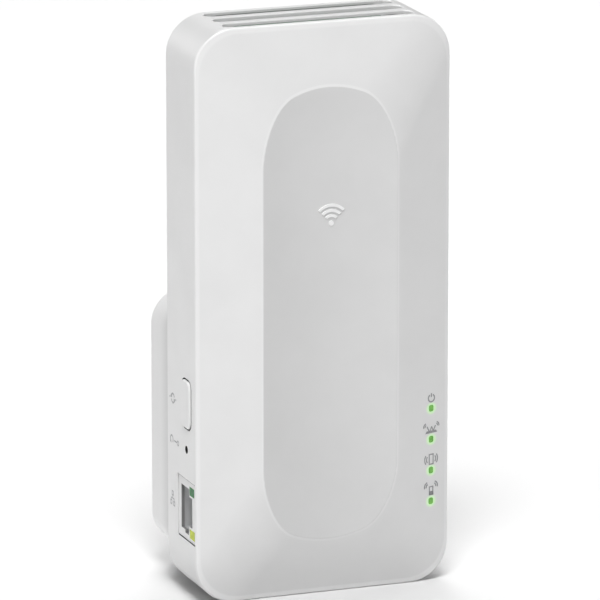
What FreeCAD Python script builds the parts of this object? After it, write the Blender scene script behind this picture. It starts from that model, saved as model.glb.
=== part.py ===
import FreeCAD, Part
import math
import os
import Sketcher
from FreeCAD import Placement, Rotation, Vector

# Plug-in wifi range extender.  Millimetres.  +Z is up, the front faces -Y and the plug side
# faces +Y.  The origin is the middle of the wall face of the plug housing, between the blades.

doc = FreeCAD.newDocument("wifi_range_extender")
sheet = doc.addObject("Spreadsheet::Sheet", "dim")

CASE = [
    ("body_wide", 69.0),
    ("body_top", 110.0),
    ("body_bottom", -40.0),
    ("body_round", 10.3),
    ("crease_at", 39.4),
    ("parting_at", 38.7),
    ("body_back", 17.0),
    ("wall", 2.0),
    ("pillow_rise", 5.8),
    ("crown_half", 18.25),
    ("crown_round", 13.4),
    ("crown_top_inset", 23.3),
    ("crown_bottom_inset", 22.4),
    ("scoop_sagitta", 1.75),
    ("crease_fillet", 0.7),
    ("rim_fillet", 1.2),
    ("rim_line", 0.15),
    ("back_fillet", 1.2),
    ("cover_inner_rise", 2.25),
    ("cover_inner_inset", 12.3),
    ("cover_inner_end_inset", 16.5),
    ("cover_inner_round", 13.5),
    ("lip_thick", 1.2),
    ("lip_deep", 1.8),
    ("lip_gap", 0.15),
    ("slot_half", 25.4),
    ("slot_round", 1.8),
    ("slot_edge", 0.4),
    ("slot_skin", 0.85),
    ("slot_thin_half", 26.6),
    ("slot_thin_round", 6.0),
    ("slot_thin_front", 37.6),
    ("slot_wide", 4.5),
    ("slot_pitch", 7.0),
    ("slot_first", 35.55),
    ("vent_half", 20.0),
    ("vent_tall", 1.8),
    ("vent_first", 46.0),
    ("vent_pitch", 4.0),
    ("vent_count", 7),
    ("window_half", 22.0),
    ("window_tall_half", 24.0),
    ("column_x", 25.5),
    ("column_high", 100.5),
    ("column_radius", 3.3),
    ("column_meet", 30.0),
    ("case_screw_radius", 1.4),
    ("case_head_radius", 2.7),
    ("case_head_thick", 1.8),
    ("case_head_depth", 2.2),
    ("housing_wide", 66.0),
    ("housing_tall", 68.0),
    ("housing_round", 9.0),
    ("housing_wall", 2.2),
    ("housing_fillet", 1.2),
    ("plug_screw_x", 26.8),
    ("plug_screw_z", 27.8),
    ("plug_boss_radius", 2.8),
    ("small_screw_radius", 1.0),
    ("small_head_radius", 2.1),
    ("small_head_thick", 1.4),
    ("label_wide", 42.0),
    ("label_tall", 24.0),
    ("label_middle", 91.0),
    ("label_thick", 0.15),
]

BLADES = [
    ("blade_spacing", 12.7),
    ("blade_thick", 1.5),
    ("live_blade_wide", 6.35),
    ("neutral_blade_wide", 7.9),
    ("blade_out", 16.5),
    ("blade_in", 11.5),
    ("blade_tip", 1.3),
    ("blade_hole", 1.6),
    ("blade_hole_at", 11.9),
    ("blade_slot_gap", 0.12),
    ("carrier_half", 13.0),
    ("carrier_tall_half", 7.5),
    ("carrier_thick", 6.0),
    ("lead_radius", 0.65),
]

BOARDS = [
    ("board_thick", 1.6),
    ("main_board_front", 25.45),
    ("main_board_half", 31.0),
    ("main_board_top", 107.0),
    ("main_board_bottom", -36.0),
    ("board_notch_x", 21.5),
    ("board_notch_high", 96.5),
    ("board_corner", 6.0),
    ("board_post_x", 27.0),
    ("board_post_z", 44.0),
    ("board_post_low_x", 12.0),
    ("board_post_low_z", -32.0),
    ("board_post_radius", 2.5),
    ("power_board_back", 15.0),
    ("power_board_half", 29.9),
    ("power_board_tall_half", 30.9),
    ("power_notch", 7.6),
    ("power_post_x", 19.0),
    ("header_z", -14.0),
    ("header_half", 5.1),
    ("header_tall_half", 1.3),
    ("header_rise", 2.5),
    ("pin_half", 0.32),
    ("sheet_half", 24.0),
    ("sheet_tall_half", 26.0),
    ("sheet_thick", 0.4),
]

CONTROLS = [
    ("button_y", 32.55),
    ("button_z", 11.6),
    ("button_wide", 6.5),
    ("button_tall", 12.5),
    ("button_round", 2.0),
    ("button_gap", 0.45),
    ("button_proud", 0.5),
    ("button_flange", 1.1),
    ("button_flange_thick", 0.7),
    ("button_flange_gap", 0.25),
    ("button_stem_radius", 1.6),
    ("button_stem_end", 30.6),
    ("plunger_radius", 1.5),
    ("plunger_start", 30.5),
    ("plunger_end", 26.2),
    ("plunger_gap", 0.2),
    ("switch_front", 28.0),
    ("switch_end", 22.0),
    ("switch_tall", 6.4),
    ("switch_bore_end", 25.4),
    ("reset_y", 32.35),
    ("reset_z", -0.5),
    ("reset_hole_radius", 1.05),
    ("reset_plunger_radius", 1.0),
    ("reset_plunger_start", 29.3),
    ("reset_plunger_end", 26.6),
    ("reset_switch_tall", 5.6),
    ("led_x", 29.1),
    ("led_z", 6.73),
    ("led_pitch", 8.25),
    ("led_wide", 1.5),
    ("led_tall", 1.8),
    ("led_round", 0.5),
    ("led_gap", 0.05),
    ("guide_end", 26.4),
    ("guide_bar_front", 31.0),
    ("guide_bar_back", 29.5),
    ("chip_led_thick", 0.7),
]

JACK = [
    ("jack_z", -16.5),
    ("jack_tall", 16.0),
    ("jack_gap", 0.15),
    ("jack_front", 38.5),
    ("jack_face", 34.2),
    ("jack_bezel", 0.9),
    ("jack_end", 12.6),
    ("jack_mouth_front", 33.5),
    ("jack_mouth_back", 27.35),
    ("jack_mouth_tall", 11.6),
    ("jack_latch_front", 35.8),
    ("jack_latch_tall", 8.0),
    ("jack_latch_z", -16.7),
    ("jack_mouth_deep", 14.3),
    ("contact_pitch", 1.02),
    ("contact_thick", 0.35),
    ("contact_wide", 0.45),
]

# Pieces that stand on a board: middle x, middle z, width along x, height along z, and how far
# they rise from the board.
MAIN_BLOCKS = [
    ("main_processor", -3.0, 22.0, 14.0, 14.0, 1.1),
    ("memory_chip", 11.5, 22.0, 8.0, 12.5, 1.0),
    ("flash_chip", -19.0, 30.0, 6.0, 8.0, 1.6),
    ("ethernet_magnetics", 0.0, -12.0, 12.7, 9.5, 5.0),
    ("power_inductor", 0.0, -24.0, 7.0, 7.0, 4.0),
]

POWER_BLOCKS = [
    ("x_capacitor", 22.0, -12.0, 5.5, 13.0, 10.5),
    ("bridge_rectifier", 0.0, -22.0, 8.5, 6.5, 2.6),
    ("optocoupler", -14.0, 15.0, 6.5, 4.6, 3.5),
]


def fill_sheet():
    rows = CASE + BLADES + BOARDS + CONTROLS + JACK
    for name, x, z, wide, tall, rise in MAIN_BLOCKS + POWER_BLOCKS:
        rows.append((name + "_x", x))
        rows.append((name + "_z", z))
        rows.append((name + "_wide", wide))
        rows.append((name + "_tall", tall))
        rows.append((name + "_rise", rise))
    for row, (alias, number) in enumerate(rows, start=1):
        sheet.set("A%d" % row, alias)
        sheet.set("B%d" % row, str(number))
        sheet.setAlias("B%d" % row, alias)
    doc.recompute()


def value(expression):
    """The number that an expression of sheet cells stands for."""
    return float(sheet.evalExpression(expression))


def neg(expression):
    return "-(" + expression + ")"


# ---- sketches ---------------------------------------------------------------------------


def new_body(label):
    body = doc.addObject("PartDesign::Body", label)
    body.Label = label
    return body


def new_sketch(body, role, offset="0"):
    """A sketch on one of the body's origin planes, moved along the plane's normal."""
    sketch = body.newObject("Sketcher::SketchObject", body.Label + "_sketch")
    plane = [f for f in body.Origin.OriginFeatures if f.Role == role][0]
    sketch.AttachmentSupport = (plane, [""])
    sketch.MapMode = "FlatFace"
    sketch.AttachmentOffset = Placement(Vector(0, 0, value(offset)), Rotation())
    sketch.setExpression(".AttachmentOffset.Base.z", offset)
    return sketch


def fix(sketch, kind, first, point, expression):
    """One distance from the sketch origin to a point, bound to an expression."""
    index = sketch.addConstraint(
        Sketcher.Constraint(kind, -1, 1, first, point, value(expression))
    )
    sketch.setExpression("Constraints[%d]" % index, expression)


def fix_radius(sketch, geometry, expression):
    index = sketch.addConstraint(Sketcher.Constraint("Radius", geometry, value(expression)))
    sketch.setExpression("Constraints[%d]" % index, expression)


def add_circle(sketch, x, y, radius):
    middle = Vector(value(x), value(y), 0)
    circle = Part.Circle(middle, Vector(0, 0, 1), value(radius))
    index = sketch.addGeometry(circle, False)
    fix(sketch, "DistanceX", index, 3, x)
    fix(sketch, "DistanceY", index, 3, y)
    fix_radius(sketch, index, radius)


def add_polygon(sketch, points):
    """A closed outline of straight lines through points given as expressions."""
    first = sketch.GeometryCount
    count = len(points)
    places = [Vector(value(x), value(y), 0) for x, y in points]
    for i in range(count):
        sketch.addGeometry(Part.LineSegment(places[i], places[(i + 1) % count]), False)
    for i in range(count):
        following = first + (i + 1) % count
        sketch.addConstraint(Sketcher.Constraint("Coincident", first + i, 2, following, 1))
    for i, (x, y) in enumerate(points):
        fix(sketch, "DistanceX", first + i, 1, x)
        fix(sketch, "DistanceY", first + i, 1, y)


def add_rectangle(sketch, left, right, low, high):
    add_polygon(sketch, [(left, low), (right, low), (right, high), (left, high)])


def add_rounded(sketch, left, right, low, high, corner):
    """A rectangle with four equal corner arcs; its edges and radius are expressions."""
    first = sketch.GeometryCount
    x0, x1, y0, y1, r = [value(e) for e in (left, right, low, high, corner)]
    sides = [
        (Vector(x0 + r, y0, 0), Vector(x1 - r, y0, 0)),
        (Vector(x1, y0 + r, 0), Vector(x1, y1 - r, 0)),
        (Vector(x1 - r, y1, 0), Vector(x0 + r, y1, 0)),
        (Vector(x0, y1 - r, 0), Vector(x0, y0 + r, 0)),
    ]
    for start, end in sides:
        sketch.addGeometry(Part.LineSegment(start, end), False)
    corners = [(x1 - r, y0 + r, 3), (x1 - r, y1 - r, 0), (x0 + r, y1 - r, 1), (x0 + r, y0 + r, 2)]
    for x, y, quarter in corners:
        circle = Part.Circle(Vector(x, y, 0), Vector(0, 0, 1), r)
        turn = quarter * math.pi / 2
        sketch.addGeometry(Part.ArcOfCircle(circle, turn, turn + math.pi / 2), False)
    for i in range(4):
        side = first + i
        arc = first + 4 + i
        following = first + (i + 1) % 4
        sketch.addConstraint(Sketcher.Constraint("Tangent", side, 2, arc, 1))
        sketch.addConstraint(Sketcher.Constraint("Tangent", arc, 2, following, 1))
    sketch.addConstraint(Sketcher.Constraint("Horizontal", first))
    sketch.addConstraint(Sketcher.Constraint("Vertical", first + 1))
    sketch.addConstraint(Sketcher.Constraint("Horizontal", first + 2))
    sketch.addConstraint(Sketcher.Constraint("Vertical", first + 3))
    for i in (5, 6, 7):
        sketch.addConstraint(Sketcher.Constraint("Equal", first + 4, first + i))
    fix_radius(sketch, first + 4, corner)
    fix(sketch, "DistanceX", first + 5, 3, "(%s) - (%s)" % (right, corner))
    fix(sketch, "DistanceY", first + 5, 3, "(%s) - (%s)" % (high, corner))
    fix(sketch, "DistanceX", first + 7, 3, "(%s) + (%s)" % (left, corner))
    fix(sketch, "DistanceY", first + 7, 3, "(%s) + (%s)" % (low, corner))


# ---- features ---------------------------------------------------------------------------


def pad(body, sketch, length, reverse=False, middle=False):
    feature = body.newObject("PartDesign::Pad", body.Label + "_pad")
    feature.Profile = sketch
    feature.setExpression("Length", length)
    feature.Reversed = reverse
    feature.Midplane = middle
    return feature


def pocket(body, sketch, length, reverse=False, middle=False):
    feature = body.newObject("PartDesign::Pocket", body.Label + "_pocket")
    feature.Profile = sketch
    feature.setExpression("Length", length)
    feature.Reversed = reverse
    feature.Midplane = middle
    return feature


def row_of(body, feature, sketch, axis, pitch, count, reverse=False):
    pattern = body.newObject("PartDesign::LinearPattern", body.Label + "_row")
    pattern.Originals = [feature]
    pattern.Direction = (sketch, [axis])
    pattern.Mode = "Extent"
    pattern.setExpression("Length", "(%s) * (%d - 1)" % (pitch, count))
    pattern.Occurrences = count
    pattern.Reversed = reverse
    body.Tip = pattern
    return pattern


def level_edges(shape, y):
    """The names of the edges that lie flat in the plane at y."""
    names = []
    for number, edge in enumerate(shape.Edges, start=1):
        box = edge.BoundBox
        if abs(box.YMin - y) < 0.001 and abs(box.YMax - y) < 0.001:
            names.append("Edge%d" % number)
    return names


def fillet(body, base, edges, radius):
    feature = body.newObject("PartDesign::Fillet", body.Label + "_fillet")
    feature.Base = (base, edges)
    feature.setExpression("Radius", radius)
    return feature


# ---- Part pieces ------------------------------------------------------------------------


def block(label, x0, x1, y0, y1, z0, z1):
    """A box between two opposite corners given as expressions."""
    box = doc.addObject("Part::Box", label)
    box.Label = label
    box.setExpression("Length", "(%s) - (%s)" % (x1, x0))
    box.setExpression("Width", "(%s) - (%s)" % (y1, y0))
    box.setExpression("Height", "(%s) - (%s)" % (z1, z0))
    box.setExpression(".Placement.Base.x", x0)
    box.setExpression(".Placement.Base.y", y0)
    box.setExpression(".Placement.Base.z", z0)
    return box


TURNS = {
    "+x": Rotation(Vector(0, 1, 0), 90),
    "+y": Rotation(Vector(1, 0, 0), -90),
    "+z": Rotation(),
}


def rod(label, axis, x, y, z, radius, length):
    """A cylinder from a start point along +x, +y or +z."""
    cylinder = doc.addObject("Part::Cylinder", label)
    cylinder.Label = label
    cylinder.setExpression("Radius", radius)
    cylinder.setExpression("Height", length)
    cylinder.Placement = Placement(Vector(0, 0, 0), TURNS[axis])
    cylinder.setExpression(".Placement.Base.x", x)
    cylinder.setExpression(".Placement.Base.y", y)
    cylinder.setExpression(".Placement.Base.z", z)
    return cylinder


def cut(label, base, tool):
    result = doc.addObject("Part::Cut", label)
    result.Label = label
    result.Base = base
    result.Tool = tool
    return result


def fuse(label, base, tool):
    result = doc.addObject("Part::Fuse", label)
    result.Label = label
    result.Base = base
    result.Tool = tool
    return result


def group(label, pieces):
    """Several loose solids of one kind that share one node."""
    result = doc.addObject("Part::Compound", label)
    result.Label = label
    result.Links = pieces
    return result


def corner_places(x, z):
    """The four mirror places of one point, as expression pairs."""
    return [(x, z), (neg(x), z), (neg(x), neg(z)), (x, neg(z))]


COLUMNS = [
    ("-dim.column_x", "dim.column_high"),
    ("dim.column_x", "dim.column_high"),
]

BOARD_POSTS = [
    ("dim.board_post_x", "dim.board_post_z"),
    ("-dim.board_post_x", "dim.board_post_z"),
    ("-dim.board_post_low_x", "dim.board_post_low_z"),
    ("dim.board_post_low_x", "dim.board_post_low_z"),
]

HALF = "dim.body_wide / 2"
TOP = "dim.body_top"
BOTTOM = "dim.body_bottom"


# ---- case -------------------------------------------------------------------------------


def body_outline(sketch, inset, corner):
    add_rounded(
        sketch,
        "-%s + (%s)" % (HALF, inset),
        "%s - (%s)" % (HALF, inset),
        "%s + (%s)" % (BOTTOM, inset),
        "%s - (%s)" % (TOP, inset),
        corner,
    )


def cover_blank():
    """The front cover before hollowing: a thin band and a pillow with a narrow flat crown."""
    body = new_body("cover_blank")
    base = new_sketch(body, "XZ_Plane", "dim.crease_at")
    body_outline(base, "0", "dim.body_round")
    pad(body, base, "dim.crease_at - dim.parting_at", reverse=True)
    foot = new_sketch(body, "XZ_Plane", "dim.crease_at")
    body_outline(foot, "0", "dim.body_round")
    crown = new_sketch(body, "XZ_Plane", "dim.crease_at + dim.pillow_rise")
    add_rounded(
        crown, "-dim.crown_half", "dim.crown_half",
        "%s + dim.crown_bottom_inset" % BOTTOM, "%s - dim.crown_top_inset" % TOP,
        "dim.crown_round",
    )
    pillow = body.newObject("PartDesign::AdditiveLoft", "pillow")
    pillow.Profile = foot
    pillow.Sections = [crown]
    pillow.Ruled = True
    doc.recompute()
    crease = level_edges(pillow.Shape, -value("dim.crease_at"))
    fillet(body, pillow, crease, "dim.crease_fillet")
    doc.recompute()
    return body


def scooped_cover():
    """The blank with a shallow vertical groove, and the groove's rim rounded over."""
    half = "dim.crown_half"
    radius = "(%s * %s / (2 * dim.scoop_sagitta) + dim.scoop_sagitta / 2)" % (half, half)
    middle = "-dim.crease_at - dim.pillow_rise + dim.scoop_sagitta - %s" % radius
    shaft = rod("scoop_shaft", "+z", "0", middle, BOTTOM, radius, "dim.body_top - dim.body_bottom")
    scooped = cut("cover_scooped", cover_blank(), shaft)
    doc.recompute()
    groove = max(
        (face for face in scooped.Shape.Faces if face.Surface.TypeId == "Part::GeomCylinder"),
        key=lambda face: face.Surface.Radius,
    )
    rounded = doc.addObject("Part::Fillet", "cover_rounded")
    rounded.Base = scooped
    reach = value("dim.rim_fillet")
    rim = []
    for number, edge in enumerate(scooped.Shape.Edges, start=1):
        if any(edge.isSame(side) for side in groove.Edges):
            rim.append((number, reach, reach))
    rounded.Edges = rim
    return rounded


def cover_cavity():
    """The hollow of the front cover, which follows the pillow a wall's thickness inside."""
    body = new_body("cover_cavity")
    foot = new_sketch(body, "XZ_Plane", "dim.parting_at - 0.71")
    body_outline(foot, "dim.wall", "dim.body_round - dim.wall")
    crown = new_sketch(body, "XZ_Plane", "dim.crease_at + dim.cover_inner_rise")
    add_rounded(
        crown,
        "-%s + dim.cover_inner_inset" % HALF,
        "%s - dim.cover_inner_inset" % HALF,
        "%s + dim.cover_inner_end_inset" % BOTTOM,
        "%s - dim.cover_inner_end_inset" % TOP,
        "dim.cover_inner_round",
    )
    hollow = body.newObject("PartDesign::AdditiveLoft", "hollow")
    hollow.Profile = foot
    hollow.Sections = [crown]
    hollow.Ruled = True
    return body


def cover_lip():
    """The lip that plugs into the rear shell, open at the slots, the jack and the button."""
    body = new_body("cover_lip")
    outer = new_sketch(body, "XZ_Plane", "dim.parting_at - dim.lip_deep")
    inset = "dim.wall + dim.lip_gap"
    body_outline(outer, inset, "dim.body_round - (%s)" % inset)
    pad(body, outer, "dim.lip_deep + 0.2")
    inner = new_sketch(body, "XZ_Plane", "dim.parting_at - dim.lip_deep - 0.5")
    inset = "dim.wall + dim.lip_gap + dim.lip_thick"
    body_outline(inner, inset, "dim.body_round - (%s)" % inset)
    pocket(body, inner, "dim.lip_deep + 2", reverse=True)
    across = new_sketch(body, "XY_Plane")
    add_rectangle(across, "-dim.slot_half - 1", "dim.slot_half + 1", "-50", "-30")
    pocket(body, across, "400", middle=True)
    side = new_sketch(body, "YZ_Plane")
    add_rectangle(side, "-50", "-30", "dim.jack_z - 10", "dim.button_z + 9.5")
    pocket(body, side, "50")
    return body


def cover_tongues():
    """Two tongues that hook into the bottom of the rear shell, where there is no screw."""
    tongues = []
    low = "%s + dim.wall + dim.lip_gap" % BOTTOM
    for number, side in enumerate((-1, 1)):
        middle = side * 20.0
        tongues.append(
            block("cover_tongue_%d" % number, "%.1f - 3" % middle, "%.1f + 3" % middle,
                  "-dim.parting_at - 0.2", "-dim.parting_at + 0.95",
                  low, "%s + dim.lip_thick" % low)
        )
    return group("cover_tongues", tongues)


def front_cover():
    hollow = cover_cavity()
    stems = []
    bosses = []
    pilots = []
    for number, (x, z) in enumerate(COLUMNS):
        stems.append(
            rod("cover_stem_%d" % number, "+y", x, "-dim.crease_at - 5", z,
                "dim.column_radius - 0.3", "dim.crease_at + 5 - dim.column_meet")
        )
        bosses.append(
            rod("cover_boss_%d" % number, "+y", x, "-dim.parting_at - 0.4", z,
                "dim.column_radius - 0.4", "dim.parting_at + 0.4 - dim.column_meet")
        )
        pilots.append(
            rod("cover_pilot_%d" % number, "+y", x, "-dim.parting_at", z,
                "dim.case_screw_radius", "dim.parting_at - dim.column_meet + 1")
        )
    kept = cut("cover_hollow", hollow, group("cover_stems", stems))
    shell = cut("cover_shell", scooped_cover(), kept)
    bossed = fuse("cover_bossed", shell, group("cover_bosses", bosses))
    lip = fuse("cover_lip_ring", cover_lip(), cover_tongues())
    lipped = fuse("cover_lipped", bossed, lip)
    bored = cut("cover_bored", lipped, group("cover_pilots", pilots))
    return cut("front_cover", bored, light_windows())


def light_windows():
    """Four small rounded holes through the right slope of the cover."""
    body = new_body("light_windows")
    sketch = new_sketch(body, "XZ_Plane", "dim.crease_at - 3")
    add_rounded(
        sketch,
        "dim.led_x - dim.led_wide / 2",
        "dim.led_x + dim.led_wide / 2",
        "dim.led_z - dim.led_tall / 2",
        "dim.led_z + dim.led_tall / 2",
        "dim.led_round",
    )
    hole = pad(body, sketch, "10")
    row_of(body, hole, sketch, "V_Axis", "dim.led_pitch", 4, reverse=True)
    return body


def rear_shell():
    body = new_body("rear_shell")
    outline = new_sketch(body, "XZ_Plane", "dim.body_back")
    body_outline(outline, "0", "dim.body_round")
    solid = pad(body, outline, "dim.parting_at - dim.body_back")
    doc.recompute()
    back = level_edges(solid.Shape, -value("dim.body_back"))
    softened = fillet(body, solid, back, "dim.back_fillet")
    doc.recompute()
    seam = level_edges(softened.Shape, -value("dim.parting_at"))
    fillet(body, softened, seam, "dim.rim_line")
    inside = new_sketch(body, "XZ_Plane", "dim.body_back + dim.wall")
    body_outline(inside, "dim.wall", "dim.body_round - dim.wall")
    pocket(body, inside, "dim.parting_at", reverse=True)
    thinned = new_sketch(body, "XZ_Plane", "dim.body_back + dim.wall")
    add_rounded(
        thinned, "-dim.slot_thin_half", "dim.slot_thin_half", "%s + dim.slot_skin" % BOTTOM,
        "%s - dim.slot_skin" % TOP, "dim.slot_thin_round",
    )
    pocket(body, thinned, "dim.slot_thin_front - dim.body_back - dim.wall", reverse=True)
    window = new_sketch(body, "XZ_Plane", "dim.body_back + dim.wall + 1")
    add_rounded(
        window, "-dim.window_half", "dim.window_half",
        "-dim.window_tall_half", "dim.window_tall_half", "3",
    )
    for x, z in corner_places("dim.plug_screw_x", "dim.plug_screw_z"):
        add_circle(window, x, z, "dim.small_screw_radius + 0.3")
    pocket(body, window, "dim.wall + 2")
    shell_slots(body)
    shell_vents(body)
    shell_side_openings(body)
    shell_posts(body)
    return body


def shell_slots(body):
    """Three long slots through the top wall and the same three through the bottom."""
    sketch = new_sketch(body, "XY_Plane")
    for number in range(3):
        middle = "(-dim.slot_first + %d * dim.slot_pitch)" % number
        add_rounded(
            sketch,
            "-dim.slot_half",
            "dim.slot_half",
            "%s - dim.slot_wide / 2" % middle,
            "%s + dim.slot_wide / 2" % middle,
            "dim.slot_round",
        )
    slots = pocket(body, sketch, "400", middle=True)
    doc.recompute()
    fillet(body, slots, slot_lips(slots.Shape), "dim.slot_edge")


def slot_lips(shape):
    """The names of the slots' outer edges, at the top and at the bottom."""
    high = value("%s - dim.slot_skin / 2" % TOP)
    low = value("%s + dim.slot_skin / 2" % BOTTOM)
    first = -value("dim.slot_first + dim.slot_wide / 2 + 0.1")
    last = -value("dim.body_back + dim.wall")
    names = []
    for number, edge in enumerate(shape.Edges, start=1):
        place = edge.CenterOfMass
        outer = place.z > high or place.z < low
        if outer and first < place.y < last and abs(place.x) < value("dim.slot_half"):
            names.append("Edge%d" % number)
    return names


def shell_vents(body):
    """A ladder of cooling slots in the back wall, above the plug housing."""
    sketch = new_sketch(body, "XZ_Plane", "dim.body_back + dim.wall + 1")
    add_rectangle(
        sketch, "-dim.vent_half", "dim.vent_half", "dim.vent_first",
        "dim.vent_first + dim.vent_tall",
    )
    slot = pocket(body, sketch, "dim.wall + 2")
    row_of(body, slot, sketch, "V_Axis", "dim.vent_pitch", int(value("dim.vent_count")))


def shell_side_openings(body):
    """The button opening, the reset hole and the jack notch in the left wall."""
    sketch = new_sketch(body, "YZ_Plane")
    reach = "(dim.button_wide / 2 + dim.button_gap)"
    rise = "(dim.button_tall / 2 + dim.button_gap)"
    add_rounded(
        sketch,
        "-dim.button_y - %s" % reach,
        "-dim.button_y + %s" % reach,
        "dim.button_z - %s" % rise,
        "dim.button_z + %s" % rise,
        "dim.button_round + dim.button_gap",
    )
    add_circle(sketch, "-dim.reset_y", "dim.reset_z", "dim.reset_hole_radius")
    add_rectangle(
        sketch,
        "-dim.parting_at - 1",
        "-dim.main_board_front + dim.jack_gap",
        "dim.jack_z - dim.jack_tall / 2 - dim.jack_gap",
        "dim.jack_z + dim.jack_tall / 2 + dim.jack_gap",
    )
    pocket(body, sketch, "60")


def shell_posts(body):
    """Screw columns that meet the cover's bosses, and shorter posts under the main board."""
    columns = new_sketch(body, "XZ_Plane", "dim.body_back + dim.wall / 2")
    for x, z in COLUMNS:
        add_circle(columns, x, z, "dim.column_radius")
    pad(body, columns, "dim.column_meet - dim.body_back - dim.wall / 2")
    posts = new_sketch(body, "XZ_Plane", "dim.body_back + dim.wall / 2")
    for x, z in BOARD_POSTS:
        add_circle(posts, x, z, "dim.board_post_radius")
    pad(body, posts, "dim.main_board_front - dim.board_thick - dim.body_back - dim.wall / 2")
    shafts = new_sketch(body, "XZ_Plane", "dim.column_meet + 1")
    for x, z in COLUMNS:
        add_circle(shafts, x, z, "dim.case_screw_radius + 0.2")
    pocket(body, shafts, "40")
    heads = new_sketch(body, "XZ_Plane", "dim.body_back + dim.case_head_depth")
    for x, z in COLUMNS:
        add_circle(heads, x, z, "dim.case_head_radius + 0.3")
    pocket(body, heads, "dim.case_head_depth + 2")
    pilots = new_sketch(body, "XZ_Plane", "dim.main_board_front")
    for x, z in BOARD_POSTS:
        add_circle(pilots, x, z, "dim.small_screw_radius")
    pocket(body, pilots, "dim.main_board_front - dim.body_back - dim.wall")


def plug_housing():
    body = new_body("plug_housing")
    outline = new_sketch(body, "XZ_Plane")
    add_rounded(
        outline, "-dim.housing_wide / 2", "dim.housing_wide / 2",
        "-dim.housing_tall / 2", "dim.housing_tall / 2", "dim.housing_round",
    )
    solid = pad(body, outline, "dim.body_back")
    doc.recompute()
    fillet(body, solid, level_edges(solid.Shape, 0.0), "dim.housing_fillet")
    inside = new_sketch(body, "XZ_Plane", "dim.housing_wall")
    add_rounded(
        inside,
        "-dim.housing_wide / 2 + dim.housing_wall",
        "dim.housing_wide / 2 - dim.housing_wall",
        "-dim.housing_tall / 2 + dim.housing_wall",
        "dim.housing_tall / 2 - dim.housing_wall",
        "dim.housing_round - dim.housing_wall",
    )
    pocket(body, inside, "dim.body_back + 1", reverse=True)
    slots = new_sketch(body, "XZ_Plane", "dim.housing_wall + 1")
    for side, wide in ((1, "dim.live_blade_wide"), (-1, "dim.neutral_blade_wide")):
        middle = "(%d * dim.blade_spacing / 2)" % side
        reach = "(dim.blade_thick / 2 + dim.blade_slot_gap)"
        rise = "(%s / 2 + dim.blade_slot_gap)" % wide
        add_rectangle(
            slots, "%s - %s" % (middle, reach), "%s + %s" % (middle, reach),
            "-%s" % rise, rise,
        )
    pocket(body, slots, "dim.housing_wall + 3")
    bosses = new_sketch(body, "XZ_Plane", "dim.housing_wall / 2")
    for x, z in corner_places("dim.plug_screw_x", "dim.plug_screw_z"):
        add_circle(bosses, x, z, "dim.plug_boss_radius")
    pad(body, bosses, "dim.body_back - dim.housing_wall / 2")
    posts = new_sketch(body, "XZ_Plane", "dim.housing_wall / 2")
    for x in ("dim.power_post_x", "-dim.power_post_x"):
        add_circle(posts, x, "0", "dim.board_post_radius")
    pad(body, posts, "dim.power_board_back - dim.housing_wall / 2")
    pilots = new_sketch(body, "XZ_Plane", "dim.body_back + 1")
    for x, z in corner_places("dim.plug_screw_x", "dim.plug_screw_z"):
        add_circle(pilots, x, z, "dim.small_screw_radius")
    for x in ("dim.power_post_x", "-dim.power_post_x"):
        add_circle(pilots, x, "0", "dim.small_screw_radius")
    pocket(body, pilots, "9")
    return body


def rating_label():
    return block(
        "rating_label", "-dim.label_wide / 2", "dim.label_wide / 2",
        "-dim.body_back", "-dim.body_back + dim.label_thick",
        "dim.label_middle - dim.label_tall / 2", "dim.label_middle + dim.label_tall / 2",
    )


# ---- screws -----------------------------------------------------------------------------


def back_screw(name, x, z, head_at, head_radius, head_thick, radius, length):
    """A pan-head screw put in from the wall side: the head faces +Y."""
    head = rod(name + "_head", "+y", x, head_at, z, head_radius, head_thick)
    shank = rod(name + "_shank", "+y", x, "(%s) - (%s)" % (head_at, length), z, radius,
                "(%s) + 0.2" % length)
    joined = fuse(name + "_joined", head, shank)
    top = "(%s) + (%s)" % (head_at, head_thick)
    slot_a = block(name + "_slot_a", "(%s) - 1.3" % x, "(%s) + 1.3" % x,
                   "%s - 0.7" % top, "%s + 0.5" % top, "(%s) - 0.3" % z, "(%s) + 0.3" % z)
    slot_b = block(name + "_slot_b", "(%s) - 0.3" % x, "(%s) + 0.3" % x,
                   "%s - 0.7" % top, "%s + 0.5" % top, "(%s) - 1.3" % z, "(%s) + 1.3" % z)
    return cut(name, joined, fuse(name + "_cross", slot_a, slot_b))


def front_screw(name, x, z, seat, length):
    """A small pan-head screw put in from the front: the head faces -Y."""
    head = rod(name + "_head", "+y", x, "(%s) - dim.small_head_thick" % seat, z,
               "dim.small_head_radius", "dim.small_head_thick")
    shank = rod(name + "_shank", "+y", x, "(%s) - 0.2" % seat, z, "dim.small_screw_radius",
                "(%s) + 0.2" % length)
    joined = fuse(name + "_joined", head, shank)
    front = "(%s) - dim.small_head_thick" % seat
    slot = block(name + "_slot", "(%s) - 1.2" % x, "(%s) + 1.2" % x,
                 "%s - 0.5" % front, "%s + 0.6" % front, "(%s) - 0.25" % z, "(%s) + 0.25" % z)
    return cut(name, joined, slot)


def case_screws():
    pieces = []
    for number, (x, z) in enumerate(COLUMNS):
        pieces.append(
            back_screw("case_screw_%d" % number, x, z, "-dim.body_back - dim.case_head_depth",
                       "dim.case_head_radius", "dim.case_head_thick",
                       "dim.case_screw_radius", "18")
        )
    return group("case_screws", pieces)


def plug_screws():
    pieces = []
    places = corner_places("dim.plug_screw_x", "dim.plug_screw_z")
    for number, (x, z) in enumerate(places):
        pieces.append(
            front_screw("plug_screw_%d" % number, x, z, "-dim.body_back - dim.wall", "7")
        )
    return group("plug_screws", pieces)


def board_screws():
    pieces = []
    for number, (x, z) in enumerate(BOARD_POSTS):
        pieces.append(
            front_screw("board_screw_%d" % number, x, z, "-dim.main_board_front", "5")
        )
    return group("board_screws", pieces)


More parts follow.
